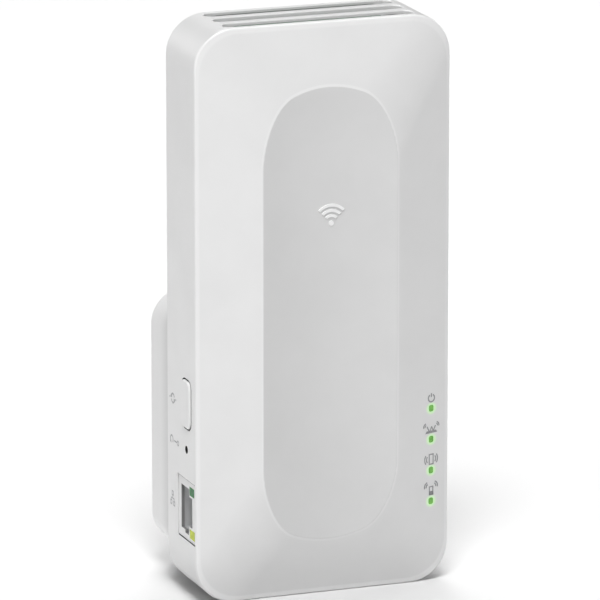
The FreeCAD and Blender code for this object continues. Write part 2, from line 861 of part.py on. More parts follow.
def power_board_screws():
    pieces = []
    seat = "-dim.power_board_back - dim.board_thick"
    for number, x in enumerate(("dim.power_post_x", "-dim.power_post_x")):
        pieces.append(front_screw("power_screw_%d" % number, x, "0", seat, "7"))
    return group("power_board_screws", pieces)


# ---- mains blades -----------------------------------------------------------------------


def blade(label, side, wide):
    """A flat plug blade with a clipped tip and a round hole, standing on edge."""
    body = new_body(label)
    sketch = new_sketch(body, "YZ_Plane", "%d * dim.blade_spacing / 2" % side)
    half = "(%s / 2)" % wide
    add_polygon(
        sketch,
        [
            ("-dim.blade_in", "-" + half),
            ("dim.blade_out - dim.blade_tip", "-" + half),
            ("dim.blade_out", "-%s + dim.blade_tip" % half),
            ("dim.blade_out", "%s - dim.blade_tip" % half),
            ("dim.blade_out - dim.blade_tip", half),
            ("-dim.blade_in", half),
        ],
    )
    add_circle(sketch, "dim.blade_hole_at", "0", "dim.blade_hole")
    solid = pad(body, sketch, "dim.blade_thick", middle=True)
    doc.recompute()
    tip = []
    for number, edge in enumerate(solid.Shape.Edges, start=1):
        if edge.BoundBox.YMin > value("dim.blade_out - dim.blade_tip") - 0.001:
            if edge.BoundBox.XMax - edge.BoundBox.XMin < 0.001:
                tip.append("Edge%d" % number)
    chamfer = body.newObject("PartDesign::Chamfer", label + "_chamfer")
    chamfer.Base = (solid, tip)
    chamfer.Size = 0.4
    return body


def blade_carrier():
    """The moulded block that grips both blades behind the wall face."""
    base = block(
        "carrier_block", "-dim.carrier_half", "dim.carrier_half",
        "-dim.housing_wall - dim.carrier_thick", "-dim.housing_wall",
        "-dim.carrier_tall_half", "dim.carrier_tall_half",
    )
    slots = []
    for side, wide in ((1, "dim.live_blade_wide"), (-1, "dim.neutral_blade_wide")):
        middle = "(%d * dim.blade_spacing / 2)" % side
        slots.append(
            block(
                "carrier_slot_%d" % len(slots),
                "%s - dim.blade_thick / 2" % middle, "%s + dim.blade_thick / 2" % middle,
                "-20", "5", "-%s / 2" % wide, "%s / 2" % wide,
            )
        )
    return cut("blade_carrier", base, group("carrier_slots", slots))


# ---- wires ------------------------------------------------------------------------------


def rounded_path(points):
    """Straight runs joined by tangent arcs, each as large as its two runs allow."""
    edges = []
    start = points[0]
    for before, corner, after in zip(points, points[1:], points[2:]):
        back = before.sub(corner)
        ahead = after.sub(corner)
        shorter = min(back.Length, ahead.Length)
        back.normalize()
        ahead.normalize()
        trim = 0.45 * shorter
        first = corner + back * trim
        last = corner + ahead * trim
        turn = math.pi - back.getAngle(ahead)
        radius = trim / math.tan(turn / 2)
        inward = back + ahead
        inward.normalize()
        centre = corner + inward * (radius / math.cos(turn / 2))
        outward = corner.sub(centre)
        outward.normalize()
        edges.append(Part.LineSegment(start, first).toShape())
        edges.append(Part.Arc(first, centre + outward * radius, last).toShape())
        start = last
    edges.append(Part.LineSegment(start, points[-1]).toShape())
    return Part.Wire(edges)


def tube(label, points, radius):
    """A round wire swept along rounded runs; its volume is compared with its length."""
    route = doc.addObject("Part::Feature", label + "_route")
    route.Shape = rounded_path(points)
    ring = doc.addObject("Part::Circle", label + "_ring")
    ring.setExpression("Radius", radius)
    along = points[1].sub(points[0])
    ring.Placement = Placement(points[0], Rotation(Vector(0, 0, 1), along))
    sweep = doc.addObject("Part::Sweep", label)
    sweep.Label = label
    sweep.Sections = [ring]
    sweep.Spine = (route, ["Edge%d" % (i + 1) for i in range(len(route.Shape.Edges))])
    sweep.Solid = True
    sweep.Frenet = False
    doc.recompute()
    wanted = math.pi * value(radius) ** 2 * route.Shape.Length
    if abs(sweep.Shape.Volume / wanted - 1) > 0.02:
        raise ValueError("%s: volume %.2f, wanted %.2f" % (label, sweep.Shape.Volume, wanted))
    return sweep


def mains_lead(label, side):
    """The short wire from a blade's inner end down to the power board."""
    x = side * value("(dim.blade_spacing + dim.blade_thick) / 2")
    y = -value("dim.blade_in") + 1.6
    board = -value("dim.power_board_back")
    points = [
        Vector(x, y, 0),
        Vector(x + side * 4.2, y, 0),
        Vector(x + side * 4.2, board, 0),
    ]
    return tube(label, points, "dim.lead_radius")


# ---- power board ------------------------------------------------------------------------


def standing(label, on_power):
    """A plain block on a board: behind the power board or in front of the main board."""
    x0 = "dim.%s_x - dim.%s_wide / 2" % (label, label)
    x1 = "dim.%s_x + dim.%s_wide / 2" % (label, label)
    z0 = "dim.%s_z - dim.%s_tall / 2" % (label, label)
    z1 = "dim.%s_z + dim.%s_tall / 2" % (label, label)
    if on_power:
        y0 = "-dim.power_board_back"
        y1 = "-dim.power_board_back + dim.%s_rise" % label
    else:
        y0 = "-dim.main_board_front - dim.%s_rise" % label
        y1 = "-dim.main_board_front"
    return block(label, x0, x1, y0, y1, z0, z1)


def power_board():
    body = new_body("power_board")
    sketch = new_sketch(body, "XZ_Plane", "dim.power_board_back")
    x = "dim.power_board_half"
    z = "dim.power_board_tall_half"
    inner_x = "(%s - dim.power_notch)" % x
    inner_z = "(%s - dim.power_notch)" % z
    add_polygon(
        sketch,
        [
            (neg(inner_x), neg(z)), (inner_x, neg(z)), (inner_x, neg(inner_z)),
            (x, neg(inner_z)), (x, inner_z), (inner_x, inner_z),
            (inner_x, z), (neg(inner_x), z), (neg(inner_x), inner_z),
            (neg(x), inner_z), (neg(x), neg(inner_z)), (neg(inner_x), neg(inner_z)),
        ],
    )
    for post in ("dim.power_post_x", "-dim.power_post_x"):
        add_circle(sketch, post, "0", "dim.small_screw_radius + 0.2")
    for pin in range(4):
        add_rectangle(
            sketch, "%s - dim.pin_half" % header_x(pin), "%s + dim.pin_half" % header_x(pin),
            "dim.header_z - dim.pin_half", "dim.header_z + dim.pin_half",
        )
    pad(body, sketch, "dim.board_thick")
    return body


def header_x(pin):
    return "(%.2f)" % ((pin - 1.5) * 2.54)


def header_block(label, y0, y1):
    return block(label, "-dim.header_half", "dim.header_half", y0, y1,
                 "dim.header_z - dim.header_tall_half", "dim.header_z + dim.header_tall_half")


def header_pins(label, y0, y1):
    pins = []
    for pin in range(4):
        pins.append(
            block("%s_%d" % (label, pin), "%s - dim.pin_half" % header_x(pin),
                  "%s + dim.pin_half" % header_x(pin), y0, y1,
                  "dim.header_z - dim.pin_half", "dim.header_z + dim.pin_half")
        )
    return group(label, pins)


def dc_pin_header():
    """Four square pins in a plastic strip that carry low voltage to the main board."""
    seat = "-dim.power_board_back - dim.board_thick"
    strip = header_block("header_strip", "%s - dim.header_rise" % seat, seat)
    return fuse("dc_pin_header", strip,
                header_pins("header_pins", "-23.2", "-dim.power_board_back + 1"))


def dc_socket():
    """The socket behind the main board that takes the header's pins."""
    mouth = "-dim.power_board_back - dim.board_thick - dim.header_rise"
    base = header_block("socket_block", "-dim.main_board_front + dim.board_thick", mouth)
    return cut("dc_socket", base, header_pins("socket_bores", "-23.4", "%s + 1" % mouth))


def insulating_sheet():
    """A thin sheet over the window between the mains side and the radio side."""
    plain = block(
        "sheet_plain", "-dim.sheet_half", "dim.sheet_half",
        "-dim.body_back - dim.wall - dim.sheet_thick", "-dim.body_back - dim.wall",
        "-dim.sheet_tall_half", "dim.sheet_tall_half",
    )
    hole = block(
        "sheet_hole", "-dim.header_half - 0.3", "dim.header_half + 0.3", "-25", "-15",
        "dim.header_z - dim.header_tall_half - 0.3",
        "dim.header_z + dim.header_tall_half + 0.3",
    )
    return cut("insulating_sheet", plain, hole)


def transformer():
    """A ferrite frame with its wound bobbin through the middle."""
    frame = block("core_frame", "-5", "13", "-dim.power_board_back", "-2.8", "13.5", "27.5")
    eye = block("core_eye", "-2.1", "10.1", "-12.5", "-5.4", "10", "31")
    core = cut("transformer_core", frame, eye)
    winding = block("winding_middle", "-1.9", "9.9", "-12.3", "-5.6", "11", "30")
    low = block("winding_low", "-4.5", "12.5", "-dim.power_board_back", "-4.2", "10.2", "13.3")
    high = block("winding_high", "-4.5", "12.5", "-dim.power_board_back", "-4.2", "27.7", "30.3")
    bobbin = fuse("transformer_bobbin", winding, fuse("winding_ends", low, high))
    return [core, bobbin]


def can_group(label, places, radius, length, start, rubber):
    """Round electrolytic cans that stand on a board, each with a stepped base."""
    cans = []
    for number, (x, z) in enumerate(places):
        name = "%s_%d" % (label, number)
        can = rod(name + "_can", "+y", x, start, z, radius, length)
        groove = doc.addObject("Part::Torus", name + "_groove")
        groove.Radius1 = value(radius) + 0.1
        groove.Radius2 = 0.35
        at = value(start) + (1.6 if rubber else value(length) - 1.6)
        groove.Placement = Placement(Vector(value(x), at, value(z)), TURNS["+y"])
        cans.append(cut(name, can, groove))
    return group(label, cans)


def common_mode_choke():
    """A wound ring that lies on the power board."""
    ring = doc.addObject("Part::Torus", "common_mode_choke")
    ring.Label = "common_mode_choke"
    ring.Radius1 = 4.6
    ring.Radius2 = 2.6
    ring.Placement = Placement(Vector(-17.5, 0, -18.5), TURNS["+y"])
    ring.setExpression(".Placement.Base.y", "-dim.power_board_back + 2.6")
    return ring


def power_parts():
    parts = [standing(name, True) for name, _, _, _, _, _ in POWER_BLOCKS]
    parts += transformer()
    parts.append(common_mode_choke())
    parts.append(
        can_group("input_capacitors", [("-23.5", "9.5"), ("-23.5", "19")], "4", "12",
                  "-dim.power_board_back", True)
    )
    parts.append(
        can_group("output_capacitors", [("20.5", "10.5"), ("20.5", "20")], "4", "11.2",
                  "-dim.power_board_back", True)
    )
    parts.append(
        rod("varistor", "+x", "9.5", "-dim.power_board_back + 4", "-18", "3.6", "3.4")
    )
    parts.append(
        rod("y_capacitor", "+x", "-10.5", "-dim.power_board_back + 3.8", "25.5", "3.5", "3")
    )
    parts.append(
        rod("fuse", "+z", "-7.8", "-dim.power_board_back + 2.2", "-28.5", "2", "8.5")
    )
    return parts


# ---- main board -------------------------------------------------------------------------


def main_board():
    body = new_body("main_board")
    sketch = new_sketch(body, "XZ_Plane", "dim.main_board_front - dim.board_thick")
    x = "dim.main_board_half"
    top = "dim.main_board_top"
    low = "dim.main_board_bottom"
    step = "dim.board_notch_x"
    high_step = "dim.board_notch_high"
    add_polygon(
        sketch,
        [
            (neg("%s - dim.board_corner" % x), low), ("%s - dim.board_corner" % x, low),
            (x, "%s + dim.board_corner" % low), (x, high_step), (step, high_step),
            (step, top), (neg(step), top), (neg(step), high_step), (neg(x), high_step),
            (neg(x), "%s + dim.board_corner" % low),
        ],
    )
    for post_x, post_z in BOARD_POSTS:
        add_circle(sketch, post_x, post_z, "dim.small_screw_radius + 0.2")
    pad(body, sketch, "dim.board_thick")
    return body


def can_lid(label, x0, x1, z0, z1, rise):
    """A thin folded metal lid over a patch of the main board."""
    outer = block(label + "_outer", x0, x1, "-dim.main_board_front - (%s)" % rise,
                  "-dim.main_board_front", z0, z1)
    inner = block(label + "_inner", "%s + 0.25" % x0, "%s - 0.25" % x1,
                  "-dim.main_board_front - (%s) + 0.25" % rise, "-dim.main_board_front + 1",
                  "%s + 0.25" % z0, "%s - 0.25" % z1)
    return cut(label, outer, inner)


def radio_parts():
    left = can_lid("radio_lid_left", "-24", "-3", "50", "70", "2.2")
    right = can_lid("radio_lid_right", "3", "24", "50", "70", "2.2")
    lids = group("radio_shields", [left, right])
    chips = []
    for number, x in enumerate((-13.5, 13.5)):
        chips.append(
            block("radio_chip_%d" % number, "%.1f - 4.5" % x, "%.1f + 4.5" % x,
                  "-dim.main_board_front - 0.9", "-dim.main_board_front", "55.5", "64.5")
        )
    sockets = []
    for number, x in enumerate((-14.0, 14.0)):
        sockets.append(
            block("antenna_socket_%d" % number, "%.1f - 1.5" % x, "%.1f + 1.5" % x,
                  "-dim.main_board_front - 1.2", "-dim.main_board_front", "74.5", "77.5")
        )
    return [lids, group("radio_chips", chips), group("antenna_sockets", sockets)]


def heatsink():
    """A finned aluminium block over the processor lid."""
    body = new_body("heatsink")
    sketch = new_sketch(body, "XY_Plane", "5")
    seat = "(-dim.main_board_front - 3.4)"
    points = [("-13", seat), ("21", seat)]
    for fin in range(8):
        right = 21 - fin * 4.6
        points.append(("%.2f" % right, "%s - 8" % seat))
        points.append(("%.2f" % (right - 1.2), "%s - 8" % seat))
        if fin < 7:
            points.append(("%.2f" % (right - 1.4), "%s - 2" % seat))
            points.append(("%.2f" % (right - 4.4), "%s - 2" % seat))
    points.append(("-13", "%s - 2" % seat))
    add_polygon(sketch, points)
    pad(body, sketch, "35")
    return body


def antenna(label, side):
    """A thin antenna board stuck to the inside of a side wall."""
    wall = value(HALF) - value("dim.wall")
    x = (wall - 0.8) if side > 0 else -wall
    plain = block(label + "_plain", "%.3f" % x, "%.3f + 0.8" % x, "-35", "-27.5", "52", "96")
    slit = block(label + "_slit", "%.3f - 1" % x, "%.3f + 2" % x, "-32", "-30.8", "60", "90")
    return cut(label, plain, slit)


def antenna_cable(label, side):
    """The thin coaxial lead from an antenna board to its socket on the main board."""
    start = value(HALF) - value("dim.wall") - 0.8
    points = [
        Vector(side * start, -29.2, 70),
        Vector(side * (start - 3.2), -29.2, 70),
        Vector(side * (start - 5.0), -30.2, 74.5),
        Vector(side * (start - 9.0), -29.6, 78.5),
        Vector(side * 20.3, -27.6, 77.2),
        Vector(side * 18.3, -26.05, 76.0),
        Vector(side * 15.5, -26.05, 76.0),
    ]
    return tube(label, points, "0.56")


def light_guide():
    """Four clear pins on one bar, cut off at the cover's slope, that carry light to it."""
    body = new_body("light_guide")
    pin = new_sketch(body, "XZ_Plane", "dim.guide_end")
    add_rounded(
        pin,
        "dim.led_x - dim.led_wide / 2 + dim.led_gap",
        "dim.led_x + dim.led_wide / 2 - dim.led_gap",
        "dim.led_z - dim.led_tall / 2 + dim.led_gap",
        "dim.led_z + dim.led_tall / 2 - dim.led_gap",
        "dim.led_round - dim.led_gap",
    )
    post = pad(body, pin, "dim.crease_at + dim.pillow_rise - dim.guide_end")
    row_of(body, post, pin, "V_Axis", "dim.led_pitch", 4, reverse=True)
    slope = "(dim.pillow_rise / (%s - dim.crown_half))" % HALF
    tip = "(-dim.crease_at + 0.03 - %s * (%s - %s))"
    left = "(dim.led_x - 2)"
    right = "(dim.led_x + 2)"
    beyond = "-dim.crease_at - dim.pillow_rise - 1"
    front = new_sketch(body, "XY_Plane", "dim.led_z + 1.5")
    add_polygon(
        front,
        [
            (left, tip % (slope, HALF, left)),
            (left, beyond),
            (right, beyond),
            (right, tip % (slope, HALF, right)),
        ],
    )
    pocket(body, front, "3 * dim.led_pitch + 3")
    bar = new_sketch(body, "XY_Plane", "dim.led_z + 1.5")
    add_rectangle(
        bar, "dim.led_x - 1.6", "dim.led_x + 1.4", "-dim.guide_bar_front", "-dim.guide_bar_back"
    )
    pad(body, bar, "3 * dim.led_pitch + 3", reverse=True)
    return body


def status_leds():
    pieces = []
    for number in range(4):
        z = "(dim.led_z - %d * dim.led_pitch)" % number
        pieces.append(
            block("status_led_%d" % number, "dim.led_x - 0.8", "dim.led_x + 0.8",
                  "-dim.main_board_front - dim.chip_led_thick", "-dim.main_board_front",
                  "%s - 0.45" % z, "%s + 0.45" % z)
        )
    return group("status_leds", pieces)


def main_parts():
    parts = [standing(name, False) for name, _, _, _, _, _ in MAIN_BLOCKS]
    parts.append(can_lid("processor_shield", "-11", "19", "7", "37", "2.6"))
    parts.append(
        block("thermal_pad", "-9", "17", "-dim.main_board_front - 3.4",
              "-dim.main_board_front - 2.6", "9", "35")
    )
    parts.append(heatsink())
    parts += radio_parts()
    parts.append(
        can_group("board_capacitors", [("9.5", "-24"), ("17", "-24")], "3.15", "7.7",
                  "-dim.main_board_front - 7.7", False)
    )
    parts.append(status_leds())
    parts.append(light_guide())
    parts.append(antenna("antenna_left", -1))
    parts.append(antenna("antenna_right", 1))
    parts.append(antenna_cable("antenna_cable_left", -1))
    parts.append(antenna_cable("antenna_cable_right", 1))
    return parts


# ---- buttons ----------------------------------------------------------------------------


def wps_button():
    """The side button: a rounded cap, a flange behind the wall and a stub stem."""
    body = new_body("wps_button")
    outside = "(%s + dim.button_proud)" % HALF
    inside = "(%s - dim.wall - dim.button_flange_gap)" % HALF
    cap = new_sketch(body, "YZ_Plane", neg(inside))
    button_outline(cap, "0", "dim.button_round")
    knob = pad(body, cap, "%s - %s" % (outside, inside), reverse=True)
    doc.recompute()
    rim = []
    for number, edge in enumerate(knob.Shape.Edges, start=1):
        if edge.BoundBox.XMax < -value(outside) + 0.001:
            rim.append("Edge%d" % number)
    fillet(body, knob, rim, "0.45")
    flange = new_sketch(body, "YZ_Plane", neg(inside))
    button_outline(flange, "dim.button_flange", "dim.button_round + dim.button_flange")
    pad(body, flange, "dim.button_flange_thick")
    stem = new_sketch(body, "YZ_Plane", "-dim.button_stem_end")
    add_circle(stem, "-dim.button_y", "dim.button_z", "dim.button_stem_radius")
    pad(body, stem, "%s - dim.button_stem_end - 0.2" % inside, reverse=True)
    return body


def button_outline(sketch, grow, corner):
    add_rounded(
        sketch,
        "-dim.button_y - dim.button_wide / 2 - %s" % grow,
        "-dim.button_y + dim.button_wide / 2 + %s" % grow,
        "dim.button_z - dim.button_tall / 2 - %s" % grow,
        "dim.button_z + dim.button_tall / 2 + %s" % grow,
        corner,
    )


def side_switch(label, y, z, tall, radius):
    """A side-acting switch that stands on the main board, bored for its plunger."""
    base = block(
        label + "_case", "-dim.switch_front", "-dim.switch_end", "-%s - 3.2" % y,
        "-dim.main_board_front", "%s - %s / 2" % (z, tall), "%s + %s / 2" % (z, tall),
    )
    bore = rod(label + "_bore", "+x", "-dim.switch_front - 1", "-%s" % y, z,
               "%s + dim.plunger_gap" % radius, "dim.switch_front + 1 - dim.switch_bore_end")
    return cut(label, base, bore)


def switches():
    wps = side_switch("wps_switch", "dim.button_y", "dim.button_z", "dim.switch_tall",
                      "dim.plunger_radius")
    reset = side_switch("reset_switch", "dim.reset_y", "dim.reset_z", "dim.reset_switch_tall",
                        "dim.reset_plunger_radius")
    wps_plunger = rod("wps_plunger", "+x", "-dim.plunger_start", "-dim.button_y",
                      "dim.button_z", "dim.plunger_radius",
                      "dim.plunger_start - dim.plunger_end")
    reset_plunger = rod("reset_plunger", "+x", "-dim.reset_plunger_start", "-dim.reset_y",
                        "dim.reset_z", "dim.reset_plunger_radius",
                        "dim.reset_plunger_start - dim.reset_plunger_end")
    return [wps, reset, wps_plunger, reset_plunger]


# ---- network jack -----------------------------------------------------------------------


JACK_LIGHTS = [
    ("jack_light_green", "-37.3", "-33.8", "-12.2", "-9.9"),
    ("jack_light_amber", "-37.6", "-34.0", "-23.6", "-21.2"),
]


def jack_block(body, x, length):
    """A slab of the jack's outline from x towards the left."""
    face = new_sketch(body, "YZ_Plane", x)
    add_rectangle(
        face, "-dim.jack_front", "-dim.main_board_front",
        "dim.jack_z - dim.jack_tall / 2", "dim.jack_z + dim.jack_tall / 2",
    )
    pad(body, face, length, reverse=True)


def jack_mouth(body, x):
    """The mouth, its latch groove and its foot groove, cut from x out through the left."""
    mouth = new_sketch(body, "YZ_Plane", x)
    low = "dim.jack_z - dim.jack_mouth_tall / 2"
    high = "dim.jack_z + dim.jack_mouth_tall / 2"
    latch = "dim.jack_latch_z %s dim.jack_latch_tall / 2"
    add_polygon(
        mouth,
        [
            ("-dim.jack_mouth_back", low),
            ("-dim.jack_mouth_back", high),
            ("-dim.jack_mouth_front", high),
            ("-dim.jack_mouth_front", latch % "+"),
            ("-dim.jack_latch_front", latch % "+"),
            ("-dim.jack_latch_front", latch % "-"),
            ("-dim.jack_mouth_front", latch % "-"),
            ("-dim.jack_mouth_front", low),
            ("-dim.jack_mouth_front + 0.3", low),
            ("-dim.jack_mouth_front + 0.3", low + " - 0.8"),
            ("-dim.jack_mouth_back - 2.9", low + " - 0.8"),
            ("-dim.jack_mouth_back - 2.9", low),
        ],
    )
    pocket(body, mouth, "dim.jack_mouth_deep + 2")


def ethernet_jack():
    """A network jack with its mouth in the left wall and the latch groove to the front."""
    body = new_body("ethernet_jack")
    jack_block(body, "-dim.jack_end", "dim.jack_face - dim.jack_bezel - dim.jack_end")
    jack_mouth(body, "-dim.jack_face + dim.jack_mouth_deep")
    return body


def jack_bezel():
    """The plate round the jack's mouth, with a window for each of its two lights."""
    body = new_body("jack_bezel")
    jack_block(body, "-dim.jack_face + dim.jack_bezel", "dim.jack_bezel")
    jack_mouth(body, "-dim.jack_face + dim.jack_bezel + 1")
    windows = new_sketch(body, "YZ_Plane", "-dim.jack_face + dim.jack_bezel + 1")
    for _, y0, y1, z0, z1 in JACK_LIGHTS:
        add_rectangle(windows, y0, y1, z0, z1)
    pocket(body, windows, "dim.jack_bezel + 2")
    return body


def jack_lights():
    pieces = []
    for label, y0, y1, z0, z1 in JACK_LIGHTS:
        pieces.append(
            block(label, "-dim.jack_face - 0.05", "-dim.jack_face + dim.jack_bezel",
                  y0, y1, z0, z1)
        )
    return pieces


def jack_contacts():
    """Eight bent contact wires along the back of the mouth."""
    body = new_body("jack_contacts")
    sketch = new_sketch(
        body, "XY_Plane", "dim.jack_z - 3.5 * dim.contact_pitch"
    )
    back = "-dim.jack_mouth_back"
    add_polygon(
        sketch,
        [
            ("-29.3", back),
            ("-29.3", back + " - dim.contact_thick"),
            ("-28.2", back + " - dim.contact_thick"),
            ("-22.0", back + " - 1.8 - dim.contact_thick"),
            ("-21.3", back + " - 1.8 - dim.contact_thick"),
            ("-21.3", back + " - 1.8"),
            ("-21.9", back + " - 1.8"),
            ("-28.1", back),
        ],
    )
    wire = pad(body, sketch, "dim.contact_wide", middle=True)
    row_of(body, wire, sketch, "N_Axis", "dim.contact_pitch", 8)
    return body


# ---- build ------------------------------------------------------------------------------


def build():
    nodes = [front_cover(), rear_shell(), plug_housing(), rating_label()]
    nodes += [case_screws(), plug_screws(), board_screws(), power_board_screws()]
    nodes += [blade("live_blade", 1, "dim.live_blade_wide")]
    nodes += [blade("neutral_blade", -1, "dim.neutral_blade_wide")]
    nodes += [blade_carrier(), mains_lead("live_lead", 1), mains_lead("neutral_lead", -1)]
    nodes += [power_board(), dc_pin_header(), dc_socket(), insulating_sheet()]
    nodes += power_parts()
    nodes += [main_board()]
    nodes += main_parts()
    nodes += [wps_button()]
    nodes += switches()
    nodes += [ethernet_jack(), jack_bezel(), jack_contacts()]
    nodes += jack_lights()
    return nodes


def check(nodes):
    for item in doc.Objects:
        if "Invalid" in item.State or "Error" in item.State:
            raise ValueError("%s did not rebuild: %s" % (item.Label, item.State))
    for node in nodes:
        if node.Shape.isNull() or not node.Shape.isValid():
            raise ValueError("%s has no valid shape" % node.Label)
        if not node.Shape.Solids:
            raise ValueError("%s has no solid" % node.Label)


def export(nodes):
    os.makedirs("parts", exist_ok=True)
    for node in nodes:
        node.Shape.exportStep("parts/%s.step" % node.Label)
        box = node.Shape.BoundBox
        print("%-22s %2d solids %9.1f mm3  X %.2f..%.2f  Y %.2f..%.2f  Z %.2f..%.2f" % (
            node.Label, len(node.Shape.Solids), node.Shape.Volume,
            box.XMin, box.XMax, box.YMin, box.YMax, box.ZMin, box.ZMax))


fill_sheet()
ALL_NODES = build()
doc.recompute()
check(ALL_NODES)
export(ALL_NODES)
print(len(ALL_NODES), "nodes")
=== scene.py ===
import bpy
import math
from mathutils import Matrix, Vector


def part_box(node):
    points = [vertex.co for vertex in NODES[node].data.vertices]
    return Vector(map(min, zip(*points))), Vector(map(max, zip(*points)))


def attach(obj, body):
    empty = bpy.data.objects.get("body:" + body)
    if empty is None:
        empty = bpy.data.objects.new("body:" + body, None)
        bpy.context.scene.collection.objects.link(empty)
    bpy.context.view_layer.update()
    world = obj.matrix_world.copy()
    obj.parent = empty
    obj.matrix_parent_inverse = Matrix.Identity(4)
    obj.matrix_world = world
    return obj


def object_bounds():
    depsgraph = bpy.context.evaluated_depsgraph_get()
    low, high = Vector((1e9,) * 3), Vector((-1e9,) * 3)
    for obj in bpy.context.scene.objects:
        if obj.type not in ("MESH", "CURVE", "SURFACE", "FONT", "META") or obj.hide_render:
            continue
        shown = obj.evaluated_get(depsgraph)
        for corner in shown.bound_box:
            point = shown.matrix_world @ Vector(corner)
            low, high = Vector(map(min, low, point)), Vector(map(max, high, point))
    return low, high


# A plug-in wifi range extender: the CAD parts with their finishes, the printed marks, and a
# plain white studio.  Metres.  The front faces -Y, +Z is up, and the plug points along +Y.

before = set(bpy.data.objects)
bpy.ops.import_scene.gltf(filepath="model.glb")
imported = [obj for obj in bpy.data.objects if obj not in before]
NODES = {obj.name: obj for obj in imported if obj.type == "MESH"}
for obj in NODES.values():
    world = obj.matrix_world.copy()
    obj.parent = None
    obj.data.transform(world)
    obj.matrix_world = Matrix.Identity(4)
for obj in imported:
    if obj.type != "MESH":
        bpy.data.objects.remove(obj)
CAD_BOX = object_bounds()

MM = 0.001

# The case, in its own frame: walls, crease, slots and status lights.
REAR_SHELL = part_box("rear_shell")
TOP_Z = REAR_SHELL[1][2]
FOOT_Z = REAR_SHELL[0][2]
BACK_Y = REAR_SHELL[1][1]
HALF_WIDE = 34.5 * MM
WALL_X = -HALF_WIDE
CREASE_Y = -39.4 * MM
TOP_FADE = 7.0 * MM
SLOT_HALF = 25.45 * MM
SLOT_FRONT = -38.4 * MM
SLOT_BACK = -18.6 * MM
LIGHT_X = 29.1 * MM
LIGHT_TOP = 6.73 * MM
LIGHT_PITCH = 8.25 * MM
LIGHT_COUNT = 4
HALO_START = 0.6 * MM
HALO_END = 2.1 * MM

# The cover: a pillow that rises from its crease to a flat crown, with an upright groove in it.
RISE = 5.8 * MM
CROWN_HALF = 18.25 * MM
SCOOP_DEEP = 1.75 * MM
SCOOP_RADIUS = CROWN_HALF ** 2 / (2 * SCOOP_DEEP) + SCOOP_DEEP / 2
SCOOP_Y = CREASE_Y - RISE + SCOOP_DEEP - SCOOP_RADIUS

scene = bpy.context.scene
scene.view_settings.view_transform = "Standard"
scene.view_settings.look = "None"


# ---- materials --------------------------------------------------------------------------


